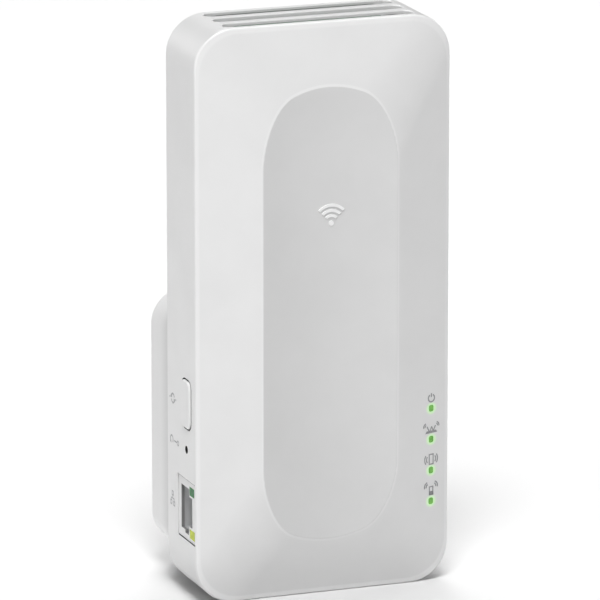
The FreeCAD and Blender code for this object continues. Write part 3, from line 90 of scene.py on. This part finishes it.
class Surface:
    """A node material built up from noise layers around one Principled shader."""

    def __init__(self, name, colour, rough, metal=0.0):
        self.material = bpy.data.materials.new(name)
        self.material.use_nodes = True
        self.tree = self.material.node_tree
        self.shader = self.tree.nodes["Principled BSDF"]
        self.shader.inputs["Base Color"].default_value = (*colour, 1.0)
        self.shader.inputs["Roughness"].default_value = rough
        self.shader.inputs["Metallic"].default_value = metal
        self.place = self.tree.nodes.new("ShaderNodeTexCoord").outputs["Object"]
        self.colour = None
        self.normal = None

    def link(self, output, target):
        self.tree.links.new(output, target)

    def noise(self, size, detail=3.0, rough=0.55, stretch=(1.0, 1.0, 1.0)):
        """Noise whose blobs are about size metres across."""
        mapping = self.tree.nodes.new("ShaderNodeMapping")
        mapping.inputs["Scale"].default_value = stretch
        self.link(self.place, mapping.inputs["Vector"])
        texture = self.tree.nodes.new("ShaderNodeTexNoise")
        texture.inputs["Scale"].default_value = 1.0 / size
        texture.inputs["Detail"].default_value = detail
        texture.inputs["Roughness"].default_value = rough
        self.link(mapping.outputs["Vector"], texture.inputs["Vector"])
        return texture.outputs["Fac"]

    def ramp(self, factor, stops):
        node = self.tree.nodes.new("ShaderNodeValToRGB")
        elements = node.color_ramp.elements
        while len(elements) < len(stops):
            elements.new(0.5)
        for element, (position, colour) in zip(elements, stops):
            element.position = position
            element.color = (*colour, 1.0)
        self.link(factor, node.inputs["Fac"])
        return node.outputs["Color"]

    def mottle(self, size, low, high, detail=3.0):
        """Slow colour variation between two close colours."""
        colours = self.ramp(self.noise(size, detail), [(0.35, low), (0.65, high)])
        self.colour = colours
        self.link(colours, self.shader.inputs["Base Color"])
        return self

    def mix(self, factor, colour):
        """Lays a second colour over the first where factor is 1."""
        node = self.tree.nodes.new("ShaderNodeMix")
        node.data_type = "RGBA"
        self.link(factor, node.inputs["Factor"])
        if self.colour is not None:
            self.link(self.colour, node.inputs["A"])
        else:
            node.inputs["A"].default_value = self.shader.inputs["Base Color"].default_value
        node.inputs["B"].default_value = (*colour, 1.0)
        self.colour = node.outputs["Result"]
        self.link(self.colour, self.shader.inputs["Base Color"])
        return self

    def shade(self, factor, scale):
        """Paints shade: darkens the colour to scale times itself where factor is 1."""
        return self.mix(self.math("MULTIPLY", factor, 1.0 - scale), BLACK)

    def step(self, value, start, end):
        """0 at start and 1 at end, with a smooth change between them."""
        node = self.tree.nodes.new("ShaderNodeMapRange")
        node.interpolation_type = "SMOOTHSTEP"
        node.inputs["From Min"].default_value = start
        node.inputs["From Max"].default_value = end
        self.link(value, node.inputs["Value"])
        return node.outputs["Result"]

    def within(self, low, high, edge):
        """1 inside an upright box and 0 outside it, fading over edge metres beyond its faces."""
        factor = 1.0
        for name, least, most in zip("XYZ", low, high):
            place = self.axis(name)
            factor = self.math("MULTIPLY", self.step(place, least - edge, least), factor)
            factor = self.math("MULTIPLY", self.step(place, most + edge, most), factor)
        return factor

    def gloss(self, size, low, high):
        """Roughness that wanders between two values."""
        node = self.tree.nodes.new("ShaderNodeMapRange")
        node.inputs["To Min"].default_value = low
        node.inputs["To Max"].default_value = high
        self.link(self.noise(size), node.inputs["Value"])
        self.link(node.outputs["Result"], self.shader.inputs["Roughness"])
        return self

    def bump(self, factor, depth, strength=1.0):
        """Relief of a real depth in metres, stacked on any relief before it."""
        node = self.tree.nodes.new("ShaderNodeBump")
        node.inputs["Distance"].default_value = depth
        node.inputs["Strength"].default_value = strength
        self.link(factor, node.inputs["Height"])
        if self.normal is not None:
            self.link(self.normal, node.inputs["Normal"])
        self.normal = node.outputs["Normal"]
        self.link(self.normal, self.shader.inputs["Normal"])
        return self

    def grain(self, size, depth, strength=1.0, stretch=(1.0, 1.0, 1.0)):
        return self.bump(self.noise(size, 2.0, stretch=stretch), depth, strength)

    def math(self, operation, first, second=0.0):
        node = self.tree.nodes.new("ShaderNodeMath")
        node.operation = operation
        for slot, item in zip(node.inputs, (first, second)):
            if isinstance(item, (int, float)):
                slot.default_value = item
            else:
                self.link(item, slot)
        return node.outputs["Value"]

    def axis(self, name):
        node = self.tree.nodes.new("ShaderNodeSeparateXYZ")
        self.link(self.place, node.inputs["Vector"])
        return node.outputs[name]


def moulded(name, colour, rough=0.36, spread=0.012):
    """Spark-textured moulded plastic: fine grain, faint mottling, wandering gloss."""
    low = tuple(max(0.0, c - spread) for c in colour)
    high = tuple(min(1.0, c + spread) for c in colour)
    surface = Surface(name, colour, rough)
    surface.mottle(0.018, low, high)
    surface.gloss(0.006, rough - 0.05, rough + 0.06)
    surface.grain(0.00022, 0.000006, 0.6)
    surface.grain(0.0011, 0.000008, 0.25)
    return surface


def metal(name, colour, rough, brushed=(1.0, 1.0, 1.0)):
    """Metal with faint tarnish and fine scratches, drawn out along brushed."""
    surface = Surface(name, colour, rough, 1.0)
    dark = tuple(c * 0.85 for c in colour)
    surface.mottle(0.0025, dark, colour)
    surface.gloss(0.0015, rough - 0.06, rough + 0.1)
    surface.grain(0.00015, 0.000003, 0.5, brushed)
    return surface


def circuit_board(name, mask, trace):
    """Solder mask over copper: fine tracks run under it as slightly lighter lines."""
    surface = Surface(name, mask, 0.32)
    surface.mottle(0.012, tuple(c * 0.85 for c in mask), mask)
    wave = surface.tree.nodes.new("ShaderNodeTexWave")
    wave.inputs["Scale"].default_value = 190.0
    wave.inputs["Distortion"].default_value = 6.0
    wave.inputs["Detail Scale"].default_value = 0.4
    wave.bands_direction = "DIAGONAL"
    surface.link(surface.place, wave.inputs["Vector"])
    lines = surface.math("GREATER_THAN", wave.outputs["Fac"], 0.83)
    surface.mix(lines, trace)
    surface.bump(lines, 0.00002, 0.6)
    surface.gloss(0.003, 0.26, 0.4)
    return surface


BLACK = (0.0, 0.0, 0.0)
WHITE = (0.80, 0.80, 0.80)
# The colour of the highlight painted along the cover's crease and the scoop's rim.
PAINTED_HIGHLIGHT = (0.84, 0.84, 0.84)

# How much of its colour a surface keeps in each place where shade is painted.
TOP_KEEPS = 0.62
SLOTS_KEEP = 0.88
SIDE_OPENINGS_KEEP = 0.05
CASE_FOOT_KEEPS = 0.86
COVER_FOOT_KEEPS = 0.94
SCOOP_KEEPS = 0.88
PLUG_CORNER_KEEPS = 0.84
BEZEL_KEEPS = 0.3
BUTTON_SIDES_KEEP = 0.06


def build_finishes():
    """Every finish by the name that FINISH_OF_NODE and the marks know it by."""
    finish = {}

    case = moulded("case_white", WHITE)
    shade_side_openings(case)
    shade_top(case)
    shade_foot(case, CASE_FOOT_KEEPS)
    finish["case"] = case

    cover = moulded("cover_white", WHITE)
    shade_foot(cover, COVER_FOOT_KEEPS)
    shade_cover_top(cover)
    shade_scoop_and_paint_rim_highlight(cover)
    paint_crease_highlight(cover)
    paint_light_halo(cover)
    finish["cover"] = cover

    plug_case = moulded("plug_white", (0.78, 0.78, 0.78))
    shade_plug_corner(plug_case)
    finish["plug_case"] = plug_case

    button = moulded("button_white", (0.81, 0.81, 0.81), 0.36)
    # Painted shade on the button's sides, which stand in the gap round it.
    shaded_sides = button.step(button.axis("X"), WALL_X + 0.04 * MM, WALL_X + 0.14 * MM)
    button.shade(shaded_sides, BUTTON_SIDES_KEEP)
    finish["button"] = button

    bezel = moulded("jack_white", (0.80, 0.80, 0.80), 0.38)
    shade_bezel(bezel)
    finish["bezel"] = bezel
    finish["jack"] = jack_finish()
    finish["label"] = moulded("label_film", (0.62, 0.63, 0.64), 0.5)
    finish["black"] = moulded("moulded_black", (0.022, 0.022, 0.024), 0.5, 0.004)
    finish["dark_grey"] = moulded("moulded_dark_grey", (0.08, 0.08, 0.085), 0.5, 0.01)
    finish["chip"] = moulded("chip_epoxy", (0.02, 0.02, 0.022), 0.6, 0.004)
    finish["tape"] = moulded("winding_tape", (0.72, 0.55, 0.06), 0.3)
    finish["yellow"] = moulded("yellow_box", (0.66, 0.44, 0.04), 0.28)
    finish["blue"] = moulded("blue_epoxy", (0.04, 0.10, 0.36), 0.3)
    finish["sheet"] = moulded("insulating_film", (0.68, 0.62, 0.46), 0.35)
    finish["silicone"] = moulded("silicone_pad", (0.22, 0.30, 0.46), 0.65)
    finish["live_wire"] = moulded("wire_black", (0.02, 0.02, 0.02), 0.45, 0.003)
    finish["neutral_wire"] = moulded("wire_white", (0.70, 0.70, 0.70), 0.45)
    finish["cable"] = moulded("cable_grey", (0.05, 0.05, 0.055), 0.4, 0.008)
    finish["can"] = moulded("can_sleeve", (0.02, 0.035, 0.10), 0.3, 0.006)
    finish["ferrite"] = moulded("ferrite_grey", (0.035, 0.035, 0.038), 0.62, 0.008)

    finish["steel"] = metal("zinc_steel", (0.56, 0.56, 0.57), 0.34)
    finish["tin"] = metal("tinned_lid", (0.60, 0.60, 0.60), 0.3, (1.0, 1.0, 12.0))
    finish["aluminium"] = metal("heatsink_alloy", (0.62, 0.62, 0.64), 0.38, (1.0, 1.0, 0.05))
    finish["blade"] = metal("blade_nickel", (0.66, 0.62, 0.52), 0.22, (1.0, 0.05, 1.0))
    finish["gold"] = metal("contact_gold", (0.78, 0.55, 0.18), 0.25)
    finish["copper"] = metal("copper_winding", (0.45, 0.17, 0.06), 0.35)

    finish["main_board"] = circuit_board("main_board", (0.012, 0.11, 0.04), (0.03, 0.19, 0.07))
    finish["power_board"] = circuit_board("power_board", (0.33, 0.22, 0.09), (0.42, 0.29, 0.12))
    finish["antenna"] = circuit_board("antenna_board", (0.012, 0.04, 0.03), (0.4, 0.24, 0.08))

    glass = Surface("fuse_glass", (0.9, 0.95, 0.95), 0.05)
    glass.shader.inputs["Transmission Weight"].default_value = 0.85
    glass.mottle(0.003, (0.86, 0.92, 0.92), (0.94, 0.98, 0.98))
    glass.grain(0.0006, 0.000004, 0.2)
    finish["glass"] = glass

    finish["green_lens"] = lens("green_lens", (0.01, 0.09, 0.025), (0.02, 0.20, 0.055), 0.12)
    finish["amber_lens"] = lens("amber_lens", (0.36, 0.42, 0.02), (0.50, 0.58, 0.03), 0.15)
    finish["raised"] = moulded("raised_white", (0.92, 0.92, 0.92), 0.3, 0.008)
    finish["led"] = lens("status_led", (0.10, 0.60, 0.06), (0.16, 0.85, 0.08), 2.0)
    finish["guide"] = guide_finish()
    finish["ink"] = ink_finish("printed_ink", 0.28, 0.37)
    finish["pale_ink"] = ink_finish("pale_printed_ink", 0.38, 0.47)
    return finish


def shade_side_openings(surface):
    """Paints shade on the sides of the left wall's openings, which only face the inside of the
    case.
    """
    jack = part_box("jack_bezel")
    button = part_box("wps_button")
    low = (WALL_X + 0.06 * MM, jack[0][1] - 0.2 * MM, jack[0][2] - 1.0 * MM)
    high = (WALL_X + 2.5 * MM, jack[1][1] - 0.15 * MM, button[1][2] + 1.0 * MM)
    surface.shade(surface.within(low, high, 0.05 * MM), SIDE_OPENINGS_KEEP)


def near_top(surface):
    """0 part of the way down the case's upper corners and 1 on its top wall."""
    return surface.step(surface.axis("Z"), TOP_Z - TOP_FADE, TOP_Z - 0.1 * MM)


def shade_top(surface):
    """Paints shade on the top wall and its corners, which take the light full on, and less on
    the insides of its slots.
    """
    low = (-SLOT_HALF, SLOT_FRONT, TOP_Z - 6.0 * MM)
    high = (SLOT_HALF, SLOT_BACK, TOP_Z - 0.15 * MM)
    slots = surface.within(low, high, 0.1 * MM)
    surface.shade(slots, SLOTS_KEEP)
    outside = surface.math("SUBTRACT", 1.0, slots)
    before_back = surface.step(surface.axis("Y"), BACK_Y - 0.4 * MM, BACK_Y - 1.8 * MM)
    outer = surface.math("MULTIPLY", outside, before_back)
    surface.shade(surface.math("MULTIPLY", outer, near_top(surface)), TOP_KEEPS)


def shade_cover_top(surface):
    """Paints shade on the cover's narrow share of the top wall, behind the crease."""
    behind = surface.step(surface.axis("Y"), CREASE_Y + 0.05 * MM, CREASE_Y + 0.3 * MM)
    surface.shade(surface.math("MULTIPLY", behind, near_top(surface)), TOP_KEEPS)


def shade_foot(surface, keeps):
    """Paints shade on the case or cover towards its lower end."""
    height = surface.axis("Z")
    surface.shade(surface.step(height, FOOT_Z + 17.0 * MM, FOOT_Z + 3.0 * MM), keeps)


def shade_scoop_and_paint_rim_highlight(surface):
    """Paints shade in the scoop, a touch below the slopes round it, and a painted highlight
    along its rim.
    """
    x = surface.axis("X")
    y = surface.math("SUBTRACT", surface.axis("Y"), SCOOP_Y)
    squares = surface.math("ADD", surface.math("MULTIPLY", x, x), surface.math("MULTIPLY", y, y))
    radius = surface.math("SQRT", squares)
    inside = surface.step(radius, SCOOP_RADIUS + 0.08 * MM, SCOOP_RADIUS + 0.01 * MM)
    surface.shade(inside, SCOOP_KEEPS)
    rim_highlight = surface.math(
        "MULTIPLY",
        surface.step(radius, SCOOP_RADIUS + 0.02 * MM, SCOOP_RADIUS + 0.08 * MM),
        surface.step(radius, SCOOP_RADIUS + 0.26 * MM, SCOOP_RADIUS + 0.16 * MM),
    )
    surface.mix(rim_highlight, PAINTED_HIGHLIGHT)


def paint_crease_highlight(surface):
    """Paints a highlight on the rounded edge between the wall and the slopes, a little lighter.
    """
    y = surface.axis("Y")
    edge = surface.math(
        "MULTIPLY",
        surface.step(y, CREASE_Y - 0.45 * MM, CREASE_Y - 0.3 * MM),
        surface.step(y, CREASE_Y + 0.05 * MM, CREASE_Y - 0.1 * MM),
    )
    surface.mix(edge, PAINTED_HIGHLIGHT)


def shade_plug_corner(surface):
    """Paints shade on the plug housing towards the corner that it makes with the case."""
    corner = surface.step(surface.axis("Y"), -7.0 * MM, -14.0 * MM)
    surface.shade(corner, PLUG_CORNER_KEEPS)


def shade_bezel(surface):
    """Paints shade on the bezel inside its opening and a painted shadow along the gap above its
    top edge.
    """
    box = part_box("jack_bezel")
    face = box[0][0]
    top = box[1][2]
    inside = surface.step(surface.axis("X"), face + 0.05 * MM, face + 0.12 * MM)
    surface.shade(inside, BEZEL_KEEPS)
    gap_shadow = surface.step(surface.axis("Z"), top - 0.3 * MM, top - 0.2 * MM)
    surface.shade(gap_shadow, BEZEL_KEEPS)


def jack_finish():
    """Grey moulding with painted light: lighter deep inside the mouth, where shade falls, than
    at its lip.
    """
    surface = moulded("jack_grey", (0.46, 0.465, 0.47), 0.45)
    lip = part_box("jack_bezel")[1][0]
    depth = surface.step(surface.axis("X"), lip - 0.5 * MM, lip + 1.2 * MM)
    surface.mix(depth, (0.68, 0.69, 0.70))
    return surface


def lens(name, low, high, glow):
    """Tinted plastic with a soft glow of its own and little gloss."""
    surface = Surface(name, high, 0.25)
    surface.mottle(0.0012, low, high)
    surface.grain(0.0005, 0.000006, 0.4)
    surface.shader.inputs["Emission Color"].default_value = (*high, 1.0)
    surface.shader.inputs["Emission Strength"].default_value = glow
    surface.shader.inputs["Specular IOR Level"].default_value = 0.12
    return surface


def light_distance(surface):
    """Distance in the X-Z plane from the nearest status light, in metres."""
    z = surface.axis("Z")
    x = surface.axis("X")
    steps = surface.math("DIVIDE", surface.math("SUBTRACT", LIGHT_TOP, z), LIGHT_PITCH)
    whole = surface.math("ROUND", steps)
    whole = surface.math("MINIMUM", surface.math("MAXIMUM", whole, 0.0), LIGHT_COUNT - 1.0)
    down = surface.math("MULTIPLY", surface.math("SUBTRACT", steps, whole), LIGHT_PITCH)
    across = surface.math("SUBTRACT", x, LIGHT_X)
    squares = surface.math(
        "ADD", surface.math("MULTIPLY", down, down), surface.math("MULTIPLY", across, across)
    )
    return surface.math("SQRT", squares)


def paint_light_halo(surface):
    """Painted glow: light from the four status windows, painted as pale green colour and
    emission on the plastic round them.
    """
    node = surface.tree.nodes.new("ShaderNodeMapRange")
    node.interpolation_type = "SMOOTHERSTEP"
    node.inputs["From Min"].default_value = HALO_START
    node.inputs["From Max"].default_value = HALO_END
    node.inputs["To Min"].default_value = 1.0
    node.inputs["To Max"].default_value = 0.0
    surface.link(light_distance(surface), node.inputs["Value"])
    glow = node.outputs["Result"]
    surface.mix(surface.math("MULTIPLY", glow, 0.75), (0.62, 0.93, 0.50))
    surface.shader.inputs["Emission Color"].default_value = (0.45, 0.95, 0.30, 1.0)
    surface.link(
        surface.math("MULTIPLY", glow, 0.22), surface.shader.inputs["Emission Strength"]
    )


def guide_finish():
    """Clear pins tinted green, with a faint glow of their own."""
    surface = Surface("light_guide", (0.12, 0.34, 0.05), 0.22)
    surface.mottle(0.001, (0.07, 0.23, 0.03), (0.15, 0.38, 0.06))
    surface.grain(0.0004, 0.000005, 0.3)
    surface.shader.inputs["Emission Color"].default_value = (0.14, 0.55, 0.05, 1.0)
    surface.shader.inputs["Emission Strength"].default_value = 0.25
    surface.shader.inputs["Coat Weight"].default_value = 0.4
    return surface


def ink_finish(name, low, high):
    """Grey pad-printed ink, slightly uneven."""
    surface = Surface(name, (high, high, high), 0.5)
    surface.mottle(0.0006, (low, low, low + 0.01), (high, high, high + 0.01), 4.0)
    surface.grain(0.0002, 0.000004, 0.4)
    return surface


FINISH_OF_NODE = {
    "front_cover": "cover", "rear_shell": "case", "plug_housing": "plug_case",
    "rating_label": "label", "case_screws": "steel", "plug_screws": "steel",
    "board_screws": "steel", "power_board_screws": "steel", "live_blade": "blade",
    "neutral_blade": "blade", "blade_carrier": "black", "live_lead": "live_wire",
    "neutral_lead": "neutral_wire", "power_board": "power_board", "dc_pin_header": "black",
    "dc_socket": "black", "insulating_sheet": "sheet", "x_capacitor": "yellow",
    "bridge_rectifier": "chip", "optocoupler": "chip", "transformer_core": "ferrite",
    "transformer_bobbin": "tape", "common_mode_choke": "copper", "input_capacitors": "can",
    "output_capacitors": "can", "varistor": "blue", "y_capacitor": "blue", "fuse": "glass",
    "main_board": "main_board", "main_processor": "chip", "memory_chip": "chip",
    "flash_chip": "chip", "ethernet_magnetics": "black", "power_inductor": "ferrite",
    "processor_shield": "tin", "thermal_pad": "silicone", "heatsink": "aluminium",
    "radio_shields": "tin", "radio_chips": "chip", "antenna_sockets": "gold",
    "board_capacitors": "can", "status_leds": "led", "light_guide": "guide",
    "antenna_left": "antenna", "antenna_right": "antenna", "antenna_cable_left": "cable",
    "antenna_cable_right": "cable", "wps_button": "button", "wps_switch": "dark_grey",
    "reset_switch": "dark_grey", "wps_plunger": "black", "reset_plunger": "black",
    "ethernet_jack": "jack", "jack_bezel": "bezel", "jack_contacts": "gold",
    "jack_light_green": "green_lens", "jack_light_amber": "amber_lens",
}

FINISH = build_finishes()


def dress_nodes():
    for node, finish in FINISH_OF_NODE.items():
        mesh = NODES[node].data
        mesh.materials.clear()
        mesh.materials.append(FINISH[finish].material)


dress_nodes()


# ---- printed marks ----------------------------------------------------------------------


INK_THICK = 0.01 * MM
# How far a mark's middle layer stands off its face.
PROUD = 0.025 * MM


class Mark:
    """Flat strokes on one face of the case, in millimetres from the mark's own origin."""

    def __init__(self, name, place, origin):
        self.name = name
        self.place = place
        self.origin = origin
        self.points = []
        self.faces = []

    def polygon(self, outline):
        first = len(self.points)
        self.points += outline
        self.faces.append([first + i for i in range(len(outline))])

    def strip(self, pairs, closed=False):
        """Quads between each pair of points and the next pair."""
        first = len(self.points)
        count = len(pairs)
        for pair in pairs:
            self.points += pair
        for i in range(count if closed else count - 1):
            a = first + 2 * i
            b = first + 2 * ((i + 1) % count)
            self.faces.append([a, a + 1, b + 1, b])

    def bar(self, x0, y0, x1, y1, width):
        """A straight stroke with square ends."""
        length = math.hypot(x1 - x0, y1 - y0)
        nx = -(y1 - y0) / length * width / 2
        ny = (x1 - x0) / length * width / 2
        ends = [(x0, y0), (x1, y1)]
        self.strip([[(x + nx, y + ny), (x - nx, y - ny)] for x, y in ends])

    def arc(self, x, y, radius, start, end, width, steps=24):
        """A curved stroke from one angle to another, in degrees."""
        pairs = []
        for i in range(steps + 1):
            turn = math.radians(start + (end - start) * i / steps)
            pairs.append([
                (x + r * math.cos(turn), y + r * math.sin(turn))
                for r in (radius + width / 2, radius - width / 2)
            ])
        self.strip(pairs)

    def waves(self, x, y, radii, tilt, half_turn, width, steps):
        """Arcs that spread from two points, x to the left and to the right of the origin."""
        for side, middle in ((-1, 180 - tilt), (1, tilt)):
            for radius in radii:
                start = middle - half_turn
                self.arc(side * x, y, radius, start, middle + half_turn, width, steps)

    def disc(self, x, y, radius, steps=20):
        ring = []
        for i in range(steps):
            turn = 2 * math.pi * i / steps
            ring.append((x + radius * math.cos(turn), y + radius * math.sin(turn)))
        self.polygon(ring)

    def frame(self, x0, y0, x1, y1, width):
        """A rectangle drawn as an outline."""
        corners = [(x0, y0, -1, -1), (x1, y0, 1, -1), (x1, y1, 1, 1), (x0, y1, -1, 1)]
        pairs = []
        for x, y, across, up in corners:
            pairs.append([
                (x + side * across * width / 2, y + side * up * width / 2) for side in (1, -1)
            ])
        self.strip(pairs, closed=True)

    def finish(self, finish="ink", slot="label_film", thick=INK_THICK):
        across, up = self.origin
        points = [self.place(across + x, up + y) for x, y in self.points]
        mesh = bpy.data.meshes.new(self.name)
        mesh.from_pydata(points, [], self.faces)
        mesh.materials.append(FINISH[finish].material)
        piece = bpy.data.objects.new(self.name, mesh)
        scene.collection.objects.link(piece)
        solid = piece.modifiers.new("thickness", "SOLIDIFY")
        solid.thickness = thick
        solid.offset = 0.0
        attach(piece, "case")
        return piece


def on_right_slope(x, z):
    """A point on the flat right slope of the cover."""
    fall = RISE / (HALF_WIDE - CROWN_HALF)
    lean = math.atan(fall)
    y = CREASE_Y - (HALF_WIDE - x * MM) * fall
    return Vector((x * MM + PROUD * math.sin(lean), y - PROUD * math.cos(lean), z * MM))


def on_left_wall(across, z):
    """A point on the left wall, across millimetres in front of the frame's origin."""
    return Vector((WALL_X - PROUD, -across * MM, z * MM))


def in_scoop(x, z):
    """A point on the curved floor of the scoop."""
    return Vector((x * MM, SCOOP_Y + math.sqrt(SCOOP_RADIUS ** 2 - (x * MM) ** 2), z * MM))


# Where each of the other signs has its origin, in millimetres across and up its face.
PAIR_PLACE = (22.1, 10.6)
RESTART_PLACE = (21.1, -0.5)
NETWORK_PLACE = (21.6, -14.8)
SCOOP_SIGN_PLACE = (0.7, 58.6)
RAISED_THICK = 0.5 * MM


def at_light(number):
    """The middle of one status light, counted from the top, in millimetres."""
    return LIGHT_X / MM, (LIGHT_TOP - number * LIGHT_PITCH) / MM


def print_light_signs():
    """Power, link, wireless and client, each above its own status light."""
    power = Mark("print_power", on_right_slope, at_light(0))
    power.arc(0.0, 2.72, 0.98, 120, 420, 0.36)
    power.bar(0.0, 3.02, 0.0, 4.02, 0.36)
    power.finish()

    link = Mark("print_link", on_right_slope, at_light(1))
    link.polygon([(-1.9, 1.67), (1.9, 1.67), (1.5, 2.32), (-1.5, 2.32)])
    for side in (-1, 1):
        link.bar(side * 0.7, 2.27, side * 1.35, 3.52, 0.34)
    link.waves(1.5, 3.47, (0.5, 0.95), 30, 45, 0.3, 8)
    link.bar(-0.35, 2.27, 0.1, 3.42, 0.3)
    link.bar(0.55, 2.27, 0.1, 3.42, 0.3)
    link.finish()

    wireless = Mark("print_wireless", on_right_slope, at_light(2))
    wireless.frame(-0.6, 1.62, 0.65, 4.22, 0.34)
    wireless.waves(0.1, 2.92, (1.35, 1.95), 0, 36, 0.34, 10)
    wireless.finish()

    client = Mark("print_client", on_right_slope, at_light(3))
    client.polygon([(-0.65, 1.57), (0.75, 1.57), (0.75, 2.62), (-0.65, 2.62)])
    client.frame(-0.5, 1.72, 0.6, 3.82, 0.32)
    client.waves(0.85, 3.87, (0.7, 1.25), 28, 45, 0.36, 8)
    client.finish()


def print_side_signs():
    """Pair beside the button, restart beside the pin hole, and a network by the jack."""
    pair = Mark("print_pair", on_left_wall, PAIR_PLACE)
    turn_radius = 1.2
    for start in (20, 200):
        pair.arc(0.0, 0.0, turn_radius, start, start + 130, 0.45, 14)
        tip = math.radians(start + 140)
        pair.disc(turn_radius * math.cos(tip), turn_radius * math.sin(tip), 0.48)
    pair.bar(1.9, 0.0, 2.5, 0.0, 0.45)
    pair.bar(-2.5, 0.0, -1.9, 0.0, 0.45)
    pair.finish("pale_ink")

    restart = Mark("print_restart", on_left_wall, RESTART_PLACE)
    restart.arc(0.0, 0.0, 1.0, -40, 230, 0.42, 20)
    restart.polygon([(-1.3, -0.85), (-0.2, -1.05), (-0.7, -0.1)])
    restart.bar(1.8, 0.0, 4.1, 0.0, 0.4)
    restart.arc(4.8, 0.0, 0.6, 0, 360, 0.35, 14)
    restart.finish("pale_ink")

    network = Mark("print_network", on_left_wall, NETWORK_PLACE)
    network.frame(-0.5, -0.5, 0.5, 0.5, 0.34)
    network.bar(0.0, -0.67, 0.0, -1.4, 0.32)
    network.bar(-1.26, -1.4, 1.26, -1.4, 0.32)
    for x in (-1.1, 1.1):
        network.bar(x, -1.56, x, -2.0, 0.32)
        network.frame(x - 0.5, -3.1, x + 0.5, -2.1, 0.34)
    network.finish("pale_ink")


def raise_scoop_sign():
    """A plain raised sign of three arcs over a dot, standing in the scoop."""
    sign = Mark("raised_sign", in_scoop, SCOOP_SIGN_PLACE)
    sign.disc(0.0, 0.0, 0.65, 24)
    for radius in (1.95, 3.3, 4.65):
        sign.arc(0.0, 0.0, radius, 45, 135, 0.7, 20)
    sign.finish("raised", "white_case", RAISED_THICK)


print_light_signs()
print_side_signs()
raise_scoop_sign()


# ---- studio -----------------------------------------------------------------------------

FLOOR = CAD_BOX[0][2]


def stage_material(name, colour):
    """Matt, faintly uneven paper."""
    surface = Surface(name, colour, 0.9)
    surface.mottle(0.25, tuple(c - 0.01 for c in colour), colour)
    surface.grain(0.004, 0.00005, 0.2)
    return surface.material


# The backdrop, in metres: its floor runs from near to far, bends up and ends as a wall.
FLOOR_NEAR = -3.0
FLOOR_FAR = 1.6
FLOOR_HALF = 5.0
BEND_RADIUS = 1.2
BEND_STEPS = 16
WALL_HEIGHT = 5.0


def sweep_backdrop():
    """A pale floor that curves up into a wall far behind the object."""
    profile = [(FLOOR_NEAR, 0.0), (FLOOR_FAR, 0.0)]
    for step in range(1, BEND_STEPS + 1):
        turn = math.pi / 2 * step / BEND_STEPS
        y = FLOOR_FAR + BEND_RADIUS * math.sin(turn)
        profile.append((y, BEND_RADIUS - BEND_RADIUS * math.cos(turn)))
    profile.append((FLOOR_FAR + BEND_RADIUS, WALL_HEIGHT))
    points = []
    faces = []
    for y, z in profile:
        points.append((-FLOOR_HALF, y, FLOOR + z))
        points.append((FLOOR_HALF, y, FLOOR + z))
    for i in range(len(profile) - 1):
        faces.append([2 * i, 2 * i + 1, 2 * i + 3, 2 * i + 2])
    mesh = bpy.data.meshes.new("floor")
    mesh.from_pydata(points, [], faces)
    for face in mesh.polygons:
        face.use_smooth = True
    mesh.materials.append(stage_material("floor_white", (0.72, 0.72, 0.72)))
    floor = bpy.data.objects.new("floor", mesh)
    scene.collection.objects.link(floor)


sweep_backdrop()

MIDDLE = Vector((0.0, -0.035, 0.035))
FLOOR_MIDDLE = Vector((0.15, 0.47, FLOOR))


def around(azimuth, elevation, distance=1.5):
    """A place round the object: azimuth 0 is in front of it and 90 to its right."""
    turn = math.radians(azimuth)
    rise = math.radians(elevation)
    flat = math.cos(rise)
    away = Vector((math.sin(turn) * flat, -math.cos(turn) * flat, math.sin(rise)))
    return MIDDLE + away * distance


# Lights: name, place, the point it faces, size across, and power in watts.
LIGHTS = [
    ("key", around(-20, 63), MIDDLE, 0.6, 20.4),
    ("left_low", around(-70, 10), MIDDLE, 0.6, 4.75),
    ("right_back", around(118, 10), MIDDLE, 0.9, 8.5),
    ("near_wash", Vector((0.1, 0.5, 1.1)), FLOOR_MIDDLE, 1.0, 7.8),
    ("far_wash", Vector((0.25, 1.0, 1.0)), FLOOR_MIDDLE + Vector((0.1, 0.2, 0.0)), 0.8, 5.5),
]
SKY = 0.02


def add_lights():
    for name, place, target, size, power in LIGHTS:
        data = bpy.data.lights.new(name, "AREA")
        data.shape = "DISK"
        data.size = size
        data.energy = power
        lamp = bpy.data.objects.new(name, data)
        lamp.location = place
        lamp.rotation_euler = (target - place).to_track_quat("-Z", "Y").to_euler()
        scene.collection.objects.link(lamp)
    world = bpy.data.worlds.new("studio")
    world.use_nodes = True
    background = world.node_tree.nodes["Background"]
    background.inputs["Color"].default_value = (1.0, 1.0, 1.0, 1.0)
    background.inputs["Strength"].default_value = SKY
    scene.world = world


add_lights()


# The camera: the angle it looks along, its distance from its target in metres, how far it
# stands to the left of and above that line, and its lens in millimetres.
VIEW_TURN = 20.43
VIEW_FALL = 14.26
VIEW_TARGET = Vector((0.0, -0.0394, 0.035))
VIEW_DISTANCE = 1.6242
VIEW_LEFT = 0.00581
VIEW_UP = 0.00249
SENSOR_MM = 36.0
LENS_MM = 382.6


def add_camera():
    """The view from the left of the front and a little above it, through a long lens."""
    azimuth = math.radians(VIEW_TURN)
    elevation = math.radians(VIEW_FALL)
    forward = Vector((
        math.sin(azimuth) * math.cos(elevation),
        math.cos(azimuth) * math.cos(elevation),
        -math.sin(elevation),
    ))
    right = Vector((math.cos(azimuth), -math.sin(azimuth), 0.0))
    up = right.cross(forward)
    place = VIEW_TARGET - forward * VIEW_DISTANCE - right * VIEW_LEFT + up * VIEW_UP
    data = bpy.data.cameras.new("camera")
    data.sensor_width = SENSOR_MM
    data.lens = LENS_MM
    data.clip_start = 0.05
    data.clip_end = 30.0
    camera = bpy.data.objects.new("camera", data)
    camera.location = place
    camera.rotation_euler = forward.to_track_quat("-Z", "Y").to_euler()
    scene.collection.objects.link(camera)
    scene.camera = camera


add_camera()
